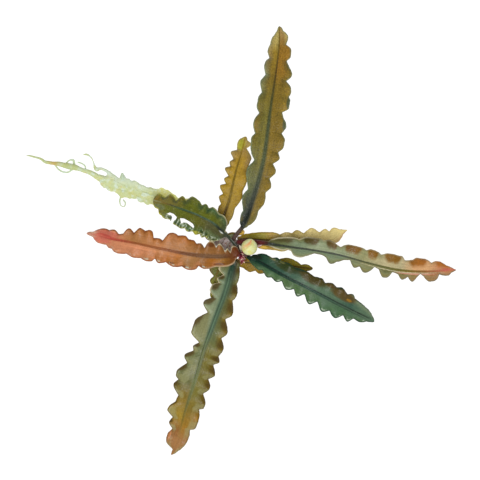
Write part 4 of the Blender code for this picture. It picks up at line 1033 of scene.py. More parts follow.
# The long leaf that points right, on a maroon petiole. Its blade is pale grey-green with brown
# blotches on the upper lobes, its lower half is folded under, and its tip is pink.
grow_leaf(
    "leaf_right_long",
    midrib=(
        (-1.7, 2.0, 5.6), (3.3, 2.2, 7.7), (9.3, 1.5, 10.2), (16.7, 0.3, 12.8), (23.3, -0.6, 14.4),
        (33.3, -2.5, 15.2), (43.3, -5.3, 13.8), (53.3, -7.4, 10.3), (63.3, -7.8, 5.2),
        (72.3, -7.3, 0.1)),
    left=(
        (10.6, 0.7), (13.0, 2.0), (15.5, 2.8), (19.5, 3.4), (21.3, 3.1), (24.0, 4.2), (27.8, 4.2),
        (29.0, 3.8), (30.7, 4.3), (32.6, 3.7), (34.8, 2.8), (36.3, 3.9), (38.5, 4.4), (41.9, 4.5),
        (43.0, 4.1), (45.0, 4.8), (47.0, 4.6), (48.5, 3.9), (51.0, 4.9), (52.5, 5.0), (54.1, 4.8),
        (56.0, 4.7), (57.2, 3.5), (60.0, 3.8), (61.4, 4.5), (64.9, 4.0), (66.6, 2.9), (68.6, 3.4),
        (70.3, 2.7), (71.6, 1.8), (73.0, 1.1), (74.2, 0.4), (75.0, 0.1)),
    right=(
        (10.6, 0.7), (12.5, 1.0), (16.0, 1.5), (17.6, 1.0), (19.0, 1.3), (20.4, 2.8), (21.7, 3.0),
        (24.0, 2.3), (26.9, 1.0), (29.5, 1.1), (31.0, 1.8), (32.8, 3.4), (34.5, 2.4), (36.8, 1.2),
        (38.8, 0.7), (40.0, 2.0), (40.9, 2.7), (42.5, 1.8), (44.5, 3.3), (46.0, 2.5), (47.4, 0.7),
        (49.0, 1.2), (51.0, 3.4), (52.5, 2.9), (53.5, 1.0), (55.5, 1.5), (57.0, 3.1), (58.7, 2.1),
        (60.2, 3.5), (61.6, 2.1), (62.8, 0.9), (64.0, 1.8), (66.2, 3.5), (68.3, 2.8), (69.2, 1.2),
        (70.5, 1.6), (72.0, 1.8), (73.2, 1.0), (74.3, 0.4), (75.0, 0.1)),
    petiole=0.70, start=0.5, lift=(0.08, -0.85), ruffle=0.65,
    rib=((0, 0.0, 0.6, "maroon"), (9, 0.0, 0.6, "maroon"), (12, 0.0, 0.5, "ink"),
         (18, 0.05, 0.40, "slate"), (26, 0.05, 0.36, "slate"), (36, 0.1, 0.34, "slate"),
         (48, 0.15, 0.32, "olive"), (57, 0.15, 0.3, "khaki"), (64, 0.1, 0.25, "burnt"),
         (70, 0.1, 0.2, "coral")),
    halves=(
        ((1, "maroon"), (9, "maroon"), (11.5, "dark_olive"), (16, "moss"), (21, "sage"),
         (27, "pale_sage"), (36, "pale_sage"), (43, "pale_olive"), (50, "dove"), (56, "dove"),
         (61, "peach"), (66, "peach"), (70, "salmon")),
        ((1, "maroon"), (9, "maroon"), (11.5, "slate"), (15, "moss"), (22, "sage"),
         (28, "sage"), (36, "sage"), (44, "stone"), (52, "olive"), (58, "ochre"),
         (65, "dark_copper"), (70, "light_copper"))),
    lobes=(
        ((11, "dark_olive"), (16, "olive"), (22, "moss"), (30, "pale_sage"), (45, "pale_olive"),
         (56, "dove"), (62, "peach"), (67, "peach"), (71, "salmon")),
        ((11, "slate"), (18, "moss"), (30, "moss"), (38, "khaki"), (44, "khaki"), (56, "ochre"),
         (60, "russet"), (68, "orange_brown"), (73, "salmon"))),
    painted_flank_light=("leaf_brown", "pale_sage", 0.35, 0.30),
    lines=((0.1, 0.15, 0.40, 14, 60), (0.75, 0.25, 0.10, 14, 46), (-0.9, 0.2, 0.12, 18, 44)),
    spots={
        # The cream spot is a painted highlight along the fold under the midrib.
        "pink": ((61.0, -0.9, 7.0, 0.25),), "cream": ((56.0, -0.55, 15.0, 0.13),),
        "coral": ((71.5, 0.3, 1.4, 0.6),)},
    crests=(
        ((12, "dark_olive"), (20, "dark_bronze"), (23, "dark_bronze"), (31, "umber"),
         (36, "chestnut"), (42, "nut_brown"), (57, "nut_brown"), (62, "orange_brown"),
         (70, "orange")),
        ((12, 0.0), (14, 1.0, 0.0), (60, 1.0, 0.0), (71, 0.8, 0.1), (74, 0.0))),
    margin=("dark_olive", ((0, 0.0), (12, 0.1, 0.6), (70, 0.1, 0.6))),
    pale_rim=((10, 0.0), (11, 0.9), (20, 0.7), (27, 0.25, 0.1), (60, 0.25, 0.1), (70, 0.0)),
    speckle=0.6)

# The golden leaf under it. It is olive and gold by the crown, fades through straw to a pale peach
# tip, and its midrib shows only as a fine line.
grow_leaf(
    "leaf_right_tan",
    midrib=(
        (-1.0, 3.3, 4.6), (0.7, 3.1, 4.8), (6.7, 2.8, 5.6), (15.0, 2.5, 6.6), (23.3, 3.2, 6.5),
        (30.0, 4.3, 4.6), (36.2, 6.1, 2.1)),
    left=(
        (0.1, 0.5), (1.0, 0.8), (2.0, 1.5), (4.3, 2.0), (6.5, 2.3), (9.0, 2.6), (12.0, 2.7),
        (14.3, 2.1), (16.6, 2.8), (18.5, 2.4), (20.2, 3.3), (22.5, 2.0), (25.2, 3.4), (27.9, 1.6),
        (29.9, 2.4), (31.2, 1.3), (32.8, 2.1), (34.8, 1.0), (35.6, 0.7), (36.4, 0.35), (37.3, 0.1)),
    right=(
        (1.0, 0.5), (3.5, 0.7), (7.0, 2.6), (9.5, 3.2), (13.0, 3.3), (15.3, 3.7), (17.5, 2.9),
        (20.0, 3.6), (23.0, 2.8), (26.0, 3.6), (29.0, 2.7), (32.4, 3.0), (34.2, 2.2), (35.4, 1.0),
        (36.4, 0.4), (37.3, 0.1)),
    petiole=0.70, start=0.0, lift=(0.10, -0.05), ruffle=0.55,
    rib=((0, 0.0, 0.3, "umber"), (10, 0.0, 0.3, "umber"), (16, 0.0, 0.3, "khaki"),
         (20, 0.0, 0.25, "gold"), (26, 0.0, 0.2, "pale_straw"), (34, 0.0, 0.15, "pale_straw")),
    halves=(
        ((1, "golden_brown"), (5, "lime_olive"), (9, "lime_olive"), (11.5, "golden"),
         (14, "straw"), (16, "pale_straw"), (19, "straw"), (24, "pale_straw"), (33, "pale_straw")),
        ((1, "golden_brown"), (8, "burnt_olive"), (11, "golden_brown"), (14, "gold"),
         (17, "straw"), (21, "pale_straw"), (34, "pale_straw"))),
    lobes=(
        ((2, "lime_olive"), (9, "lime_olive"), (11.5, "golden"), (14, "straw"),
         (16, "pale_straw"), (19, "straw"), (24, "pale_straw"), (32, "pale_straw")),
        ((2, "gold"), (8, "golden"), (12, "golden"), (15, "straw"), (20, "pale_straw"),
         (31, "pale_straw"), (36, "peach"))),
    painted_flank_light=("golden", "pale_straw", 0.25, 0.20),
    lines=((1.2, 0.3, 0.10, 4, 20), (-0.6, 0.3, 0.10, 10, 24), (0.5, 0.2, 0.08, 18, 26)),
    spots={"yellow": ((9.0, -2.6, 1.4, 0.5),)},
    margin=("gold", ((0, 0.4), (20, 0.4), (30, 0.15))), speckle=0.5)

# The small olive leaf under the blue-green one. Its petiole leaves the rhizome low down, and only
# its upper lobes and its tip show past the leaf over it.
grow_leaf(
    "leaf_right_small",
    midrib=(
        (-1.6, -3.9, 3.0), (0.4, -4.5, 3.5), (4.0, -5.0, 4.2), (10.0, -5.8, 4.6), (16.7, -6.0, 4.2),
        (24.3, -6.9, 2.6)),
    left=(
        (0.2, 0.5), (1.2, 1.3), (2.6, 1.5), (5.1, 1.6), (9.1, 2.2), (12.1, 2.6), (14.4, 2.2),
        (17.3, 2.7), (19.7, 2.1), (22.1, 0.9), (23.7, 1.2), (25.1, 0.8), (26.2, 0.2)),
    right=(
        (0.8, 0.5), (1.8, 1.8), (3.2, 2.0), (5.2, 3.1), (7.2, 2.4), (8.7, 3.3), (10.9, 2.4),
        (13.6, 2.9), (16.1, 2.2), (18.7, 2.6), (21.1, 1.7), (23.6, 1.3), (26.2, 0.2)),
    petiole=0.50, start=0.0, lift=(0.05, -0.12), ruffle=0.45,
    rib=((0, 0.0, 0.3, "umber"), (10, 0.0, 0.3, "umber"), (20, 0.0, 0.3, "bronze")),
    halves=(
        ((1, "golden_brown"), (8, "golden_brown"), (13, "lime_olive"), (20, "lime_olive")),
        ((1, "golden_brown"), (8, "golden_brown"), (13, "burnt_olive"), (20, "lime_olive"))),
    lobes=(
        ((1, "golden_brown"), (8, "golden_brown"), (13, "lime_olive"), (21, "lime_olive")),
        ((1, "golden_brown"), (8, "golden_brown"), (13, "burnt_olive"), (23, "lime_olive"))),
    painted_flank_light=("umber", "gold", 0.15, 0.3),
    spots={"lime": ((4.6, 1.5, 1.2, 0.25),)},
    margin=("umber", ((0, 0.4),)))

# The small leaf under the one that points down. It lies low, bronze where the long leaf covers it
# and lime-yellow at its tip.
grow_leaf(
    "leaf_bottom_small",
    midrib=(
        (-2.3, -2.3, 2.8), (-5.3, -4.7, 3.2), (-7.5, -8.0, 3.4), (-8.5, -12.3, 3.0),
        (-9.3, -17.0, 2.0)),
    left=(
        (2.0, 0.5), (5.0, 2.0), (8.0, 2.4), (9.5, 1.9), (11.5, 2.3), (13.0, 1.7), (15.0, 1.6),
        (17.0, 0.2)),
    right=(
        (2.0, 0.5), (5.0, 2.0), (7.8, 3.0), (9.4, 0.8), (11.0, 1.8), (12.6, 0.7), (14.0, 0.6),
        (15.5, 1.0), (17.0, 0.2)),
    petiole=0.45, start=1.2, lift=(0.0, 0.05), ruffle=0.35,
    rib=((0, 0.0, 0.3, "umber"), (8, 0.0, 0.3, "bronze"), (15, 0.0, 0.2, "khaki")),
    halves=2 * (((1, "dark_bronze"), (6, "bronze_green"), (9, "grass"), (15, "lime")),),
    lobes=2 * (((2, "umber"), (7, "bronze"), (10, "bronze_green"), (15, "lime")),),
    painted_flank_light=("umber", "gold", 0.5, 0.3),
    margin=("umber", ((0, 0.4),)))

# The youngest leaf, a rolled spear beside the upper petioles. It has no ruffles yet, and it is still
# yellow at its tip.
grow_leaf(
    "leaf_young",
    midrib=((-4.8, 4.2, 4.7), (-3.0, 4.7, 5.1), (-1.0, 4.7, 5.6), (1.5, 5.7, 6.5)),
    left=((1.0, 0.4), (2.5, 0.6), (4.9, 0.6), (6.0, 0.7), (6.6, 0.2)),
    right=((0.2, 0.4), (1.2, 1.0), (2.2, 1.4), (3.2, 0.9), (4.3, 0.7), (5.9, 0.9), (6.6, 0.2)),
    petiole=0.40, start=0.0, lift=(0.1, 0.1), ruffle=0.0,
    rib=((0, 0.0, 0.2, "bronze"), (3.5, 0.0, 0.2, "khaki"), (6, 0.0, 0.15, "gold")),
    halves=(
        ((1, "bronze"), (3.5, "gold"), (4.8, "yellow")),
        ((1, "sage"), (2.4, "pale_sage"), (3.2, "gold"), (4.5, "yellow"))),
    lobes=(((1, "bronze"), (4, "yellow")), ((1, "sage"), (2.6, "pale_sage"), (4, "yellow"))),
    painted_flank_light=("gold", "yellow", 0.4, 0.4))

# The flower bud on its stalk. The bud is a closed spathe, a pale waxy leaf wrapped round the flower
# spike, with an overlapping seam and a peach flush. The stalk comes up out of the crown.
BUD_CENTRE = (3.1, 0.3, 12.3)
BUD_RADIUS = 2.75
BUD_LENGTH = 5.3
BUD_AXIS = (0.22, 0.93, 0.35)
BUD_SEGMENTS = 96
BUD_RINGS = 64
BUD_NARROWING = 0.07
BUD_POINT = 0.09
BUD_POINT_POWER = 8
SEAM_TURN = 1.15
SEAM_TWIST = 0.9
SEAM_STEP = 0.07
SEAM_WIDTH = 0.035
SEAM_END_POWER = 8
OVERLAP_SHARE = 0.4
UNDERLAP = 0.03
FLUSH_TURN = 0.12
FLUSH_WIDTH = 0.10
FLUSH_START = 0.35
STALK = (
    (2.3, -0.6, 5.9, 0.5), (2.3, -0.9, 7.2, 0.45), (2.4, -1.2, 8.4, 0.45), (2.6, -1.3, 9.3, 0.45))
SMALL_ROD_SIDES = 28
SMALL_ROD_RINGS = 60
SMALL_ROD_ROUNDING = 0.08
SMALL_ROD_LUMP_SIZE = 0.6


def rod(name, places, finish, bumps):
    """A round rod along a list of (x, y, z, radius), with rounded ends and a lumpy skin."""
    mesh, _, ring, angle = tubes(name, SMALL_ROD_SIDES, SMALL_ROD_RINGS)
    share = ring / (SMALL_ROD_RINGS - 1)
    centre, radius, right, up = path_at(places, share)
    outward = outward_at(right, up, angle)
    lump = lumps(centre + outward * radius[:, None], SMALL_ROD_LUMP_SIZE, len(name))
    radius = radius * rounded_ends(share, 0.0, 1.0, SMALL_ROD_ROUNDING) * (1.0 + bumps * lump)
    mould(mesh, centre + outward * radius[:, None])
    note(mesh, "along", share)
    return piece(name, mesh, finish)


stalk = Finish("flower_stalk", Roughness=0.5, Specular_IOR_Level=0.25)
stalk_mottle = stalk.grain(0.6)
stalk.colour(stalk.shaded(
    stalk.ramp(stalk.attribute("along"), [
        (0.0, pigment(96, 58, 48)), (0.5, pigment(140, 96, 70)), (1.0, pigment(196, 186, 120))]),
    stalk_mottle * 0.5 + 0.75))
stalk.roughen(stalk_mottle, 0.1)
rod("flower_stalk", STALK, stalk, 0.08)

egg = bmesh.new()
bmesh.ops.create_uvsphere(egg, u_segments=BUD_SEGMENTS, v_segments=BUD_RINGS, radius=1.0)
flush_layer = egg.verts.layers.float.new("flush")
seam_layer = egg.verts.layers.float.new("seam")
for vertex in egg.verts:
    tip = max(vertex.co.z, 0.0)
    around = math.atan2(vertex.co.y, vertex.co.x)
    spiral = (around - SEAM_TURN - SEAM_TWIST * vertex.co.z) / math.pi
    spiral -= 2.0 * round(spiral / 2.0)
    overlap = SEAM_STEP * (1.0 - abs(spiral)) if spiral > 0 else 0.0
    narrow = (1.0 - BUD_NARROWING * tip**3) * (1.0 - UNDERLAP + overlap * OVERLAP_SHARE)
    vertex[seam_layer] = math.exp(-(spiral / SEAM_WIDTH) ** 2) * (
        1.0 - abs(vertex.co.z) ** SEAM_END_POWER)
    flush = math.exp(-((spiral + FLUSH_TURN) / FLUSH_WIDTH) ** 2)
    vertex[flush_layer] = flush * min(max(vertex.co.z + FLUSH_START, 0.0), 1.0)
    vertex.co.x *= BUD_RADIUS * narrow
    vertex.co.y *= BUD_RADIUS * narrow
    vertex.co.z *= BUD_LENGTH / 2 * (1.0 + BUD_POINT * tip**BUD_POINT_POWER)
tilt = Vector(BUD_AXIS).to_track_quat("Z", "Y").to_matrix().to_4x4()
bmesh.ops.transform(egg, matrix=Matrix.Translation(BUD_CENTRE) @ tilt, verts=egg.verts)
bmesh.ops.scale(egg, vec=(MM, MM, MM), verts=egg.verts)
bud_mesh = bpy.data.meshes.new("flower_bud")
egg.to_mesh(bud_mesh)
egg.free()
bud_mesh.shade_smooth()
bud = Finish("flower_bud", Roughness=0.45, Specular_IOR_Level=0.3)
bud_mottle = bud.grain(1.4)
bud_colour = bud.mix(
    bud.band(bud_mottle, 0.35, 0.65), pigment(226, 222, 138), pigment(228, 232, 176))
bud_colour = bud.mix(bud.attribute("flush"), bud_colour, pigment(236, 168, 112))
bud_colour = bud.mix(bud.attribute("seam") * 0.35, bud_colour, pigment(190, 180, 110))
bud.colour(bud.shaded(bud_colour, bud.grain(0.4) * 0.12 + 0.94))
bud.roughen(bud.grain(0.5), 0.06)
piece("flower_bud", bud_mesh, bud)

# The sheath scales, papery little leaves that wrapped the young leaves at the crown. The one
# beside the bud has dried to cream, and the other is pink with a pale tip.
SHEATHS = {
    "sheath_left": (
        ((0.7, -1.1, 5.8, 0.40), (0.3, 0.0, 7.2, 0.50), (-0.2, 0.9, 8.0, 0.15)),
        (196, 184, 156), (222, 218, 194)),
    "sheath_right": (
        ((3.6, -0.6, 5.6, 0.40), (5.3, 0.4, 7.0, 0.50), (7.3, 1.0, 7.4, 0.15)),
        (150, 64, 76), (234, 204, 200)),
}
for sheath_name, (places, base, tip_seen) in SHEATHS.items():
    scale = Finish(sheath_name, Roughness=0.5, Specular_IOR_Level=0.25)
    flecks = scale.grain(0.35, 4.0)
    base_pigment = pigment(*base)
    tip_pigment = pigment(*tip_seen)
    scale_colour = scale.ramp(
        scale.attribute("along"), [(0.0, base_pigment), (0.5, base_pigment), (1.0, tip_pigment)])
    scale.colour(scale.mix(scale.band(flecks, 0.58, 0.68), scale_colour, tip_pigment))
    scale.roughen(flecks, 0.15)
    rod(sheath_name, places, scale, 0.25)

# The withered bract that hangs from the bud's stalk. It has frayed into a bundle of thin magenta
# shreds, some of them with a pale tip.
BRACT = (
    (1.1, -1.0, 8.0, 0.32), (0.6, -2.3, 8.7, 0.65), (0.8, -3.6, 7.7, 0.75), (1.3, -4.8, 6.5, 0.25))
SHREDS = 64
SHRED_SIDES = 10
SHRED_RINGS = 12
SHRED_LAST_START = 0.75
SHRED_WIDEST_TURN = 2.2
SHRED_LEANS = (0.2, 1.2)
SHRED_LENGTHS = (0.7, 1.7)
SHRED_RISE = 0.5
SHRED_DROOP = 0.35
SHRED_HALF_WIDTH = 0.26
SHRED_FLATNESS = 0.5
SHRED_ENDS = (-0.02, 1.05)
SHRED_ROUNDING = 0.6
shred_dice = np.random.default_rng(5)
shred_mesh, number, ring, angle = tubes("sheath_lower", SHRED_SIDES, SHRED_RINGS, SHREDS)
centre, radius, right, up = path_at(BRACT, shred_dice.uniform(0.0, SHRED_LAST_START, SHREDS))
forward = np.cross(up, right)
turn = shred_dice.uniform(-SHRED_WIDEST_TURN, SHRED_WIDEST_TURN, SHREDS)
outward = outward_at(right, up, turn)
lean = shred_dice.uniform(*SHRED_LEANS, SHREDS)[:, None]
shred_length = shred_dice.uniform(*SHRED_LENGTHS, SHREDS)[:, None]
step = (ring / (SHRED_RINGS - 1))[:, None]
start = centre + outward * radius[:, None] / 2
growth = (outward * SHRED_RISE + forward * lean) * shred_length
stem = start[number] + growth[number] * step
stem += shred_dice.normal(0.0, SHRED_DROOP, (SHREDS, 3))[number] * step**2
girth = SHRED_HALF_WIDTH * rounded_ends(step, *SHRED_ENDS, SHRED_ROUNDING)
breadth = np.cross(outward, forward)[number] * np.sin(angle)[:, None]
depth = outward[number] * np.cos(angle)[:, None] * SHRED_FLATNESS
mould(shred_mesh, stem + (breadth + depth) * girth)
note(shred_mesh, "along", step[:, 0])
note(shred_mesh, "tint", shred_dice.uniform(0.0, 1.0, SHREDS)[number])
shred = Finish("withered_bract", Roughness=0.45, Specular_IOR_Level=0.3)
shred_colour = shred.mix(shred.attribute("tint"), pigment(96, 16, 42), pigment(176, 46, 84))
shred_pale = shred.band(shred.attribute("along") + shred.attribute("tint") * 0.6, 0.95, 1.35)
shred_colour = shred.mix(shred_pale, shred_colour, pigment(238, 206, 184))
shred.colour(shred.shaded(shred_colour, shred.grain(0.3) * 0.6 + 0.7))
shred.roughen(shred.grain(0.3), 0.1)
piece("sheath_lower", shred_mesh, shred)

# The roots, pale fleshy strands that have grown together into a soft mat and trail off to the left.
# A long one is a core with finer threads that wander over it, fused with its share of the mat.
# Where a leaf shades them near the crown they glow a little: painted light in place of the light
# that passes through them.
ROOTS = {
    "root_long": (
        (-12.6, 5.9, 1.3, 0.55), (-12.7, 8.4, 0.9, 0.7), (-14.7, 11.4, 0.8, 0.7),
        (-18.4, 13.4, 0.8, 0.7), (-22.2, 14.7, 0.8, 0.8), (-26.7, 16.4, 0.9, 0.8),
        (-31.7, 18.0, 0.9, 0.7), (-36.7, 19.7, 0.9, 0.7), (-41.7, 21.6, 0.9, 0.8),
        (-45.7, 22.9, 0.9, 0.9), (-48.3, 24.3, 1.0, 0.95), (-51.7, 25.8, 0.9, 0.8),
        (-54.9, 26.8, 1.0, 0.95), (-57.2, 27.4, 1.0, 1.20), (-59.4, 27.9, 0.8, 0.95),
        (-62.2, 28.3, 0.6, 0.75), (-63.6, 28.5, 0.5, 0.60), (-65.2, 28.8, 0.5, 0.52),
        (-66.4, 29.7, 0.4, 0.42), (-68.7, 30.4, 0.35, 0.38), (-70.4, 30.8, 0.3, 0.32),
        (-71.9, 30.8, 0.25, 0.17)),
    "root_upper": (
        (-11.2, 6.2, 1.5, 0.5), (-11.0, 9.0, 0.9, 0.6), (-12.9, 13.0, 0.7, 0.6),
        (-16.9, 15.1, 0.7, 0.6), (-21.3, 16.4, 0.7, 0.6), (-25.7, 18.5, 0.7, 0.6),
        (-30.0, 19.4, 0.8, 0.6), (-33.7, 20.7, 0.8, 0.6), (-37.3, 22.1, 0.8, 0.6),
        (-40.7, 22.9, 0.8, 0.6), (-43.0, 24.5, 0.8, 0.65), (-45.0, 25.9, 0.7, 0.5),
        (-46.7, 26.5, 0.6, 0.6), (-47.9, 26.2, 0.6, 0.75), (-48.4, 26.8, 0.45, 0.55),
        (-48.9, 28.4, 0.3, 0.22), (-49.8, 30.3, 0.3, 0.25), (-51.1, 31.2, 0.35, 0.35),
        (-52.7, 31.2, 0.25, 0.18)),
    "root_lower": (
        (-13.0, 4.9, 1.2, 0.5), (-14.1, 6.6, 0.8, 0.6), (-15.0, 9.1, 0.7, 0.6),
        (-17.6, 11.1, 0.7, 0.6), (-20.4, 12.2, 0.7, 0.6), (-23.2, 13.2, 0.7, 0.6),
        (-26.7, 14.6, 0.7, 0.6), (-30.0, 15.6, 0.7, 0.6), (-33.3, 16.5, 0.7, 0.6),
        (-36.7, 17.6, 0.8, 0.6), (-39.4, 18.1, 0.8, 0.6), (-42.7, 19.8, 0.7, 0.5),
        (-44.7, 20.9, 0.6, 0.4), (-46.2, 21.5, 0.4, 0.3)),
    "root_flap": (
        (-39.1, 22.9, 0.3, 1.3), (-39.3, 24.0, 0.3, 0.9), (-39.4, 25.1, 0.35, 0.35)),
    "root_hanging": (
        (-39.9, 17.0, 0.4, 0.32), (-40.2, 15.6, 0.3, 0.25), (-39.7, 14.1, 0.22, 0.16),
        (-38.8, 13.8, 0.22, 0.16), (-38.3, 14.9, 0.3, 0.28), (-39.1, 16.2, 0.3, 0.25)),
    "root_arc_low": (
        (-61.9, 27.9, 0.4, 0.34), (-60.8, 26.4, 0.3, 0.34), (-59.4, 25.5, 0.25, 0.28),
        (-57.6, 25.3, 0.22, 0.24), (-56.0, 26.2, 0.3, 0.36)),
    "root_arc_high": (
        (-58.2, 28.2, 0.3, 0.28), (-57.0, 29.3, 0.3, 0.28), (-55.8, 29.4, 0.35, 0.42),
        (-55.4, 27.8, 0.3, 0.42)),
    "root_curl": (
        (-54.3, 28.7, 0.25, 0.18), (-52.8, 28.2, 0.22, 0.24), (-51.7, 27.2, 0.3, 0.28),
        (-51.6, 26.2, 0.3, 0.25)),
}
CORE_SIDES = 20
CORE_RINGS = 220
CORE_ROUNDING = 0.02
CORE_LUMP_SIZE = 2.4
CORE_LUMP_DEPTH = 0.3
CORE_FULLNESS = 0.92
THREADS = {"root_long": 40, "root_upper": 26, "root_lower": 26}
THREAD_SIDES = 8
THREAD_RINGS = 90
THREAD_STARTS = (0.1, 0.55)
THREAD_SHARES = (0.06, 0.18)
THREAD_GIRTHS = (0.16, 0.34)
THREAD_HEIGHT = 1.0
THREAD_WEAVE = 0.18
THREAD_WEAVE_TURNS = 7.0
THREAD_SWELLING = 0.35
THREAD_SWELL_TURNS = 30.0
THREAD_ROUNDING = 0.25
THREAD_WAVES = (1, 2, 4)
WANDER_START = 0.7
WANDER_DEPTH = 0.4
WANDER_TURNS = 18.0
WANDER_LIMIT = 1.1
WANDER_REACH = 0.5
WHOLE_TURN = 6.28
MAT_EDGES = (
    (-47.5, 24.8, 24.8, 23.6, 23.6), (-46.5, 24.3, 24.3, 22.0, 22.0),
    (-45.5, 24.0, 24.0, 21.3, 21.0), (-44.2, 25.6, 23.7, 20.8, 19.8),
    (-43.2, 25.3, 23.3, 20.4, 19.4), (-42.0, 23.4, 22.6, 20.2, 19.1),
    (-40.9, 22.8, 21.9, 19.7, 18.2), (-39.7, 23.2, 21.5, 19.2, 17.1),
    (-38.4, 23.5, 21.2, 18.9, 17.2), (-36.5, 22.5, 20.7, 18.2, 16.9),
    (-34.9, 22.1, 20.4, 17.9, 16.5), (-33.4, 21.1, 19.8, 17.4, 15.9),
    (-31.3, 20.1, 19.0, 16.8, 15.6), (-30.0, 19.8, 18.7, 16.4, 14.9),
    (-27.3, 19.4, 17.9, 15.7, 13.8), (-25.8, 19.8, 17.6, 15.2, 13.8),
    (-24.2, 19.2, 17.0, 14.7, 13.2), (-22.9, 18.1, 16.2, 14.3, 12.8),
    (-20.5, 16.9, 15.3, 13.4, 11.9))
UPPER_EDGE = 1
LOWER_EDGE = 4
MAT_STRANDS = {"root_upper": (1, 2, -44.6), "root_long": (2, 3, -47.5), "root_lower": (3, 4, -45.5)}
MAT_SIDES = 36
MAT_RINGS = 200
MAT_ROUNDING = 1.2
MAT_EDGE_RAGGEDNESS = 0.5
MAT_EDGE_LUMP_SIZE = 1.7
MAT_EDGES_APART = 7.0
MAT_RAGGEDNESS = 0.25
MAT_RAG_SIZE = 1.1
MAT_LUMP_DEPTH = 0.60
MAT_LUMP_SIZE = 1.6
MAT_WRINKLE_DEPTH = 0.30
MAT_WRINKLE_SIZE = 0.7
MAT_MARGIN = 0.35
MAT_OVERLAP = 0.9
OVERLAP_START = -45.4
OVERLAP_FADE = 1.4
MAT_BLUNTNESS = 0.7
MAT_HALF_HEIGHT = 0.62
MAT_FAR_END = -49.0
MAT_FAR_FADE = 4.0
MAT_NEAR_END = -28.0
MAT_NEAR_FADE = 5.0
MAT_SINK = 0.4
MAT_VOXEL = 0.16
MAT_SOFTNESS = 0.5
MAT_SMOOTHING = 6
ROOT_ZONES = {"near_crown": (-31.0, 7.0), "sheltered": (-29.0, 3.0), "far_end": (-50.0, -6.0)}
WOUND_PLACE = -62.3
WOUND_WIDTH = 1.5
FROST_START = -0.3
FROST_FADE = 2.6
PAINTED_ROOT_GLOW = 0.42


def joined(name, meshes):
    """Several meshes as one."""
    whole = bmesh.new()
    for mesh in meshes:
        whole.from_mesh(mesh)
    made = bpy.data.meshes.new(name)
    whole.to_mesh(made)
    whole.free()
    return made


def in_mat(across):
    """1 where the roots have spread into the mat, and 0 beyond it."""
    return (smoothstep((across - MAT_FAR_END) / MAT_FAR_FADE)
            * smoothstep((MAT_NEAR_END - across) / MAT_NEAR_FADE))


def root_core(name, places):
    """The fleshy core of a root, swollen and pinched along its length."""
    mesh, _, ring, angle = tubes(name, CORE_SIDES, CORE_RINGS)
    share = ring / (CORE_RINGS - 1)
    centre, radius, right, up = path_at(places, share)
    if name in MAT_STRANDS:
        centre[:, 2] -= MAT_SINK * in_mat(centre[:, 0])
    outward = outward_at(right, up, angle)
    lump = lumps(centre + outward * radius[:, None], CORE_LUMP_SIZE, 7.0)
    swollen = rounded_ends(share, 0.0, 1.0, CORE_ROUNDING) * (CORE_FULLNESS + CORE_LUMP_DEPTH * lump)
    mould(mesh, centre + outward * (radius * swollen)[:, None])
    return mesh


def root_mat(name):
    """The part of a root that has spread flat and grown together with its neighbours.

    It lies between two of the mat's edges, which are listed from the far end, from above to below.
    """
    upper, lower, end = MAT_STRANDS[name]
    mesh, _, ring, angle = tubes(name, MAT_SIDES, MAT_RINGS)
    across = np.linspace(end, MAT_EDGES[-1][0], MAT_RINGS)
    top, bottom = [
        read_along(MAT_EDGES, edge, across) + MAT_EDGE_RAGGEDNESS * lumps(
            np.stack([across, 0 * across + MAT_EDGES_APART * edge, 0 * across], 1),
            MAT_EDGE_LUMP_SIZE, 3.0)
        for edge in (upper, lower)]
    overlap = MAT_OVERLAP * smoothstep((across - OVERLAP_START) / OVERLAP_FADE)
    top += MAT_MARGIN if upper == UPPER_EDGE else overlap
    bottom -= MAT_MARGIN if lower == LOWER_EDGE else MAT_OVERLAP
    full = rounded_ends(across, across[0], across[-1], MAT_ROUNDING)
    middle = (top + bottom) / 2
    half = (top - bottom) / 2 * full
    at = np.stack([across[ring], middle[ring] + half[ring] * np.sin(angle), 0 * angle], 1)
    ragged = 1.0 + MAT_RAGGEDNESS * lumps(at, MAT_RAG_SIZE, 2.0)
    relief = 1.0 + MAT_LUMP_DEPTH * lumps(at, MAT_LUMP_SIZE, 9.0) + (
        MAT_WRINKLE_DEPTH * lumps(at, MAT_WRINKLE_SIZE, 4.0))
    sideways = np.sign(np.sin(angle)) * np.abs(np.sin(angle)) ** MAT_BLUNTNESS
    at[:, 1] = middle[ring] + half[ring] * sideways * ragged
    at[:, 2] = MAT_HALF_HEIGHT + LOWEST + np.cos(angle) * MAT_HALF_HEIGHT * full[ring] * relief
    mould(mesh, at)
    return mesh


def root_threads(name, places, count, dice):
    """Thin threads that wander over a root and its part of the mat."""
    mesh, number, ring, angle = tubes(name, THREAD_SIDES, THREAD_RINGS, count)
    step = np.linspace(0.0, 1.0, THREAD_RINGS)
    start = dice.uniform(*THREAD_STARTS, count)[:, None]
    share = start + dice.uniform(*THREAD_SHARES, count)[:, None] * step
    centre, radius, right, up = path_at(places, share.ravel())
    wander = dice.uniform(-WANDER_START, WANDER_START, (count, 1)) * np.ones(THREAD_RINGS)
    swell = np.zeros((count, THREAD_RINGS))
    for waves in THREAD_WAVES:
        turn = share * waves * WANDER_TURNS + dice.uniform(0, WHOLE_TURN, (count, 1))
        wander += np.sin(turn) * WANDER_DEPTH / waves
        turn = share * waves * THREAD_SWELL_TURNS + dice.uniform(0, WHOLE_TURN, (count, 1))
        swell += np.sin(turn) / waves
    sideways = np.clip(wander, -WANDER_LIMIT, WANDER_LIMIT).ravel() * (radius + WANDER_REACH)
    line = centre + right * sideways[:, None]
    line[:, 2] = THREAD_HEIGHT + THREAD_WEAVE * np.sin(wander * THREAD_WEAVE_TURNS).ravel()
    girth = dice.uniform(*THREAD_GIRTHS, count)[:, None] * (1.0 + THREAD_SWELLING * swell)
    girth = (girth * rounded_ends(step, 0.0, 1.0, THREAD_ROUNDING)[None, :]).ravel()
    at = number * THREAD_RINGS + ring
    mould(mesh, line[at] + outward_at(right[at], up[at], angle) * girth[at][:, None])
    return mesh


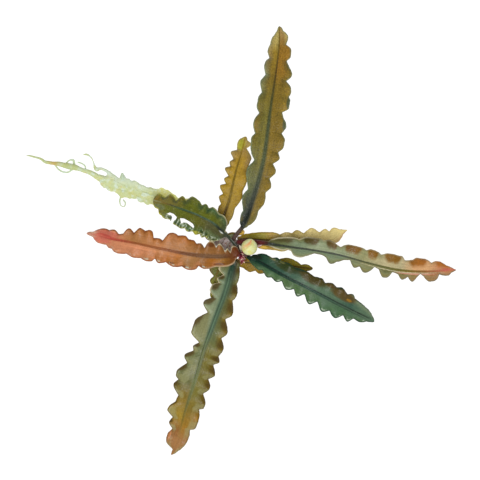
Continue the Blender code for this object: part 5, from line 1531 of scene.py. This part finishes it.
def fused(name, mesh):
    """The same shapes grown together into one soft skin."""
    single = bpy.data.objects.new("single", mesh)
    bpy.context.scene.collection.objects.link(single)
    skin = single.modifiers.new("skin", "REMESH")
    skin.mode = "VOXEL"
    skin.voxel_size = MAT_VOXEL * MM
    soft = single.modifiers.new("soft", "SMOOTH")
    soft.factor = MAT_SOFTNESS
    soft.iterations = MAT_SMOOTHING
    made = bpy.data.meshes.new_from_object(
        single.evaluated_get(bpy.context.evaluated_depsgraph_get()))
    bpy.data.objects.remove(single)
    made.name = name
    spots = np.empty(len(made.vertices) * 3, np.float32)
    made.vertices.foreach_get("co", spots)
    spots = spots.reshape(-1, 3) / MM
    mould(made, spots)
    note(made, "height", spots[:, 2])
    across = spots[:, 0]
    for zone, (start, fade) in ROOT_ZONES.items():
        note(made, zone, smoothstep((across - start) / fade))
    note(made, "wound", np.exp(-((across - WOUND_PLACE) / WOUND_WIDTH) ** 2))
    mat_middle = (
        read_along(MAT_EDGES, UPPER_EDGE, across) + read_along(MAT_EDGES, LOWER_EDGE, across)) / 2
    frost = smoothstep((spots[:, 1] - mat_middle - FROST_START) / FROST_FADE)
    note(made, "frosted", frost * in_mat(across))
    return made


root_skin = Finish(
    "root_skin", Roughness=0.5, Specular_IOR_Level=0.25, Emission_Strength=1.0)
root_mottle = root_skin.grain(3.0)
root_wisps = root_skin.grain(1.7, 2.0)
root_specks = root_skin.grain(1.3, 1.0)
root_colour = pigment(202, 213, 158)
for cover, seen in (
        (root_skin.band(root_mottle, 0.40, 0.62), (208, 212, 144)),
        (root_skin.band(root_wisps, 0.48, 0.66) * 0.75, (216, 232, 214)),
        (root_skin.band(root_specks, 0.62, 0.78) * 0.6, (216, 190, 126)),
        (root_skin.band(root_skin.attribute("height"), 0.7, 0.1) * 0.6, (196, 216, 186)),
        (root_skin.attribute("near_crown") * 0.6, (216, 212, 120)),
        (root_skin.attribute("frosted") * 0.55, (218, 232, 214)),
        (root_skin.attribute("far_end") * 0.55, (184, 194, 128)),
        (root_skin.attribute("wound") * 0.75, (206, 170, 92))):
    root_colour = root_skin.mix(cover, root_colour, pigment(*seen))
root_skin.colour(root_colour)
# Painted light: the roots glow a little where a leaf shades them near the crown.
root_skin.feed(root_skin.shader.inputs["Emission Color"], root_skin.mix(
    root_skin.attribute("sheltered") * PAINTED_ROOT_GLOW, (0.0, 0.0, 0.0, 1.0), root_colour))
root_skin.roughen(root_wisps, 0.15)
root_dice = np.random.default_rng(12)
for root_name, places in ROOTS.items():
    root = root_core(root_name, places)
    if root_name in THREADS:
        threads = root_threads(root_name, places, THREADS[root_name], root_dice)
        root = fused(root_name, joined(root_name, [root, root_mat(root_name), threads]))
    piece(root_name, root, root_skin)
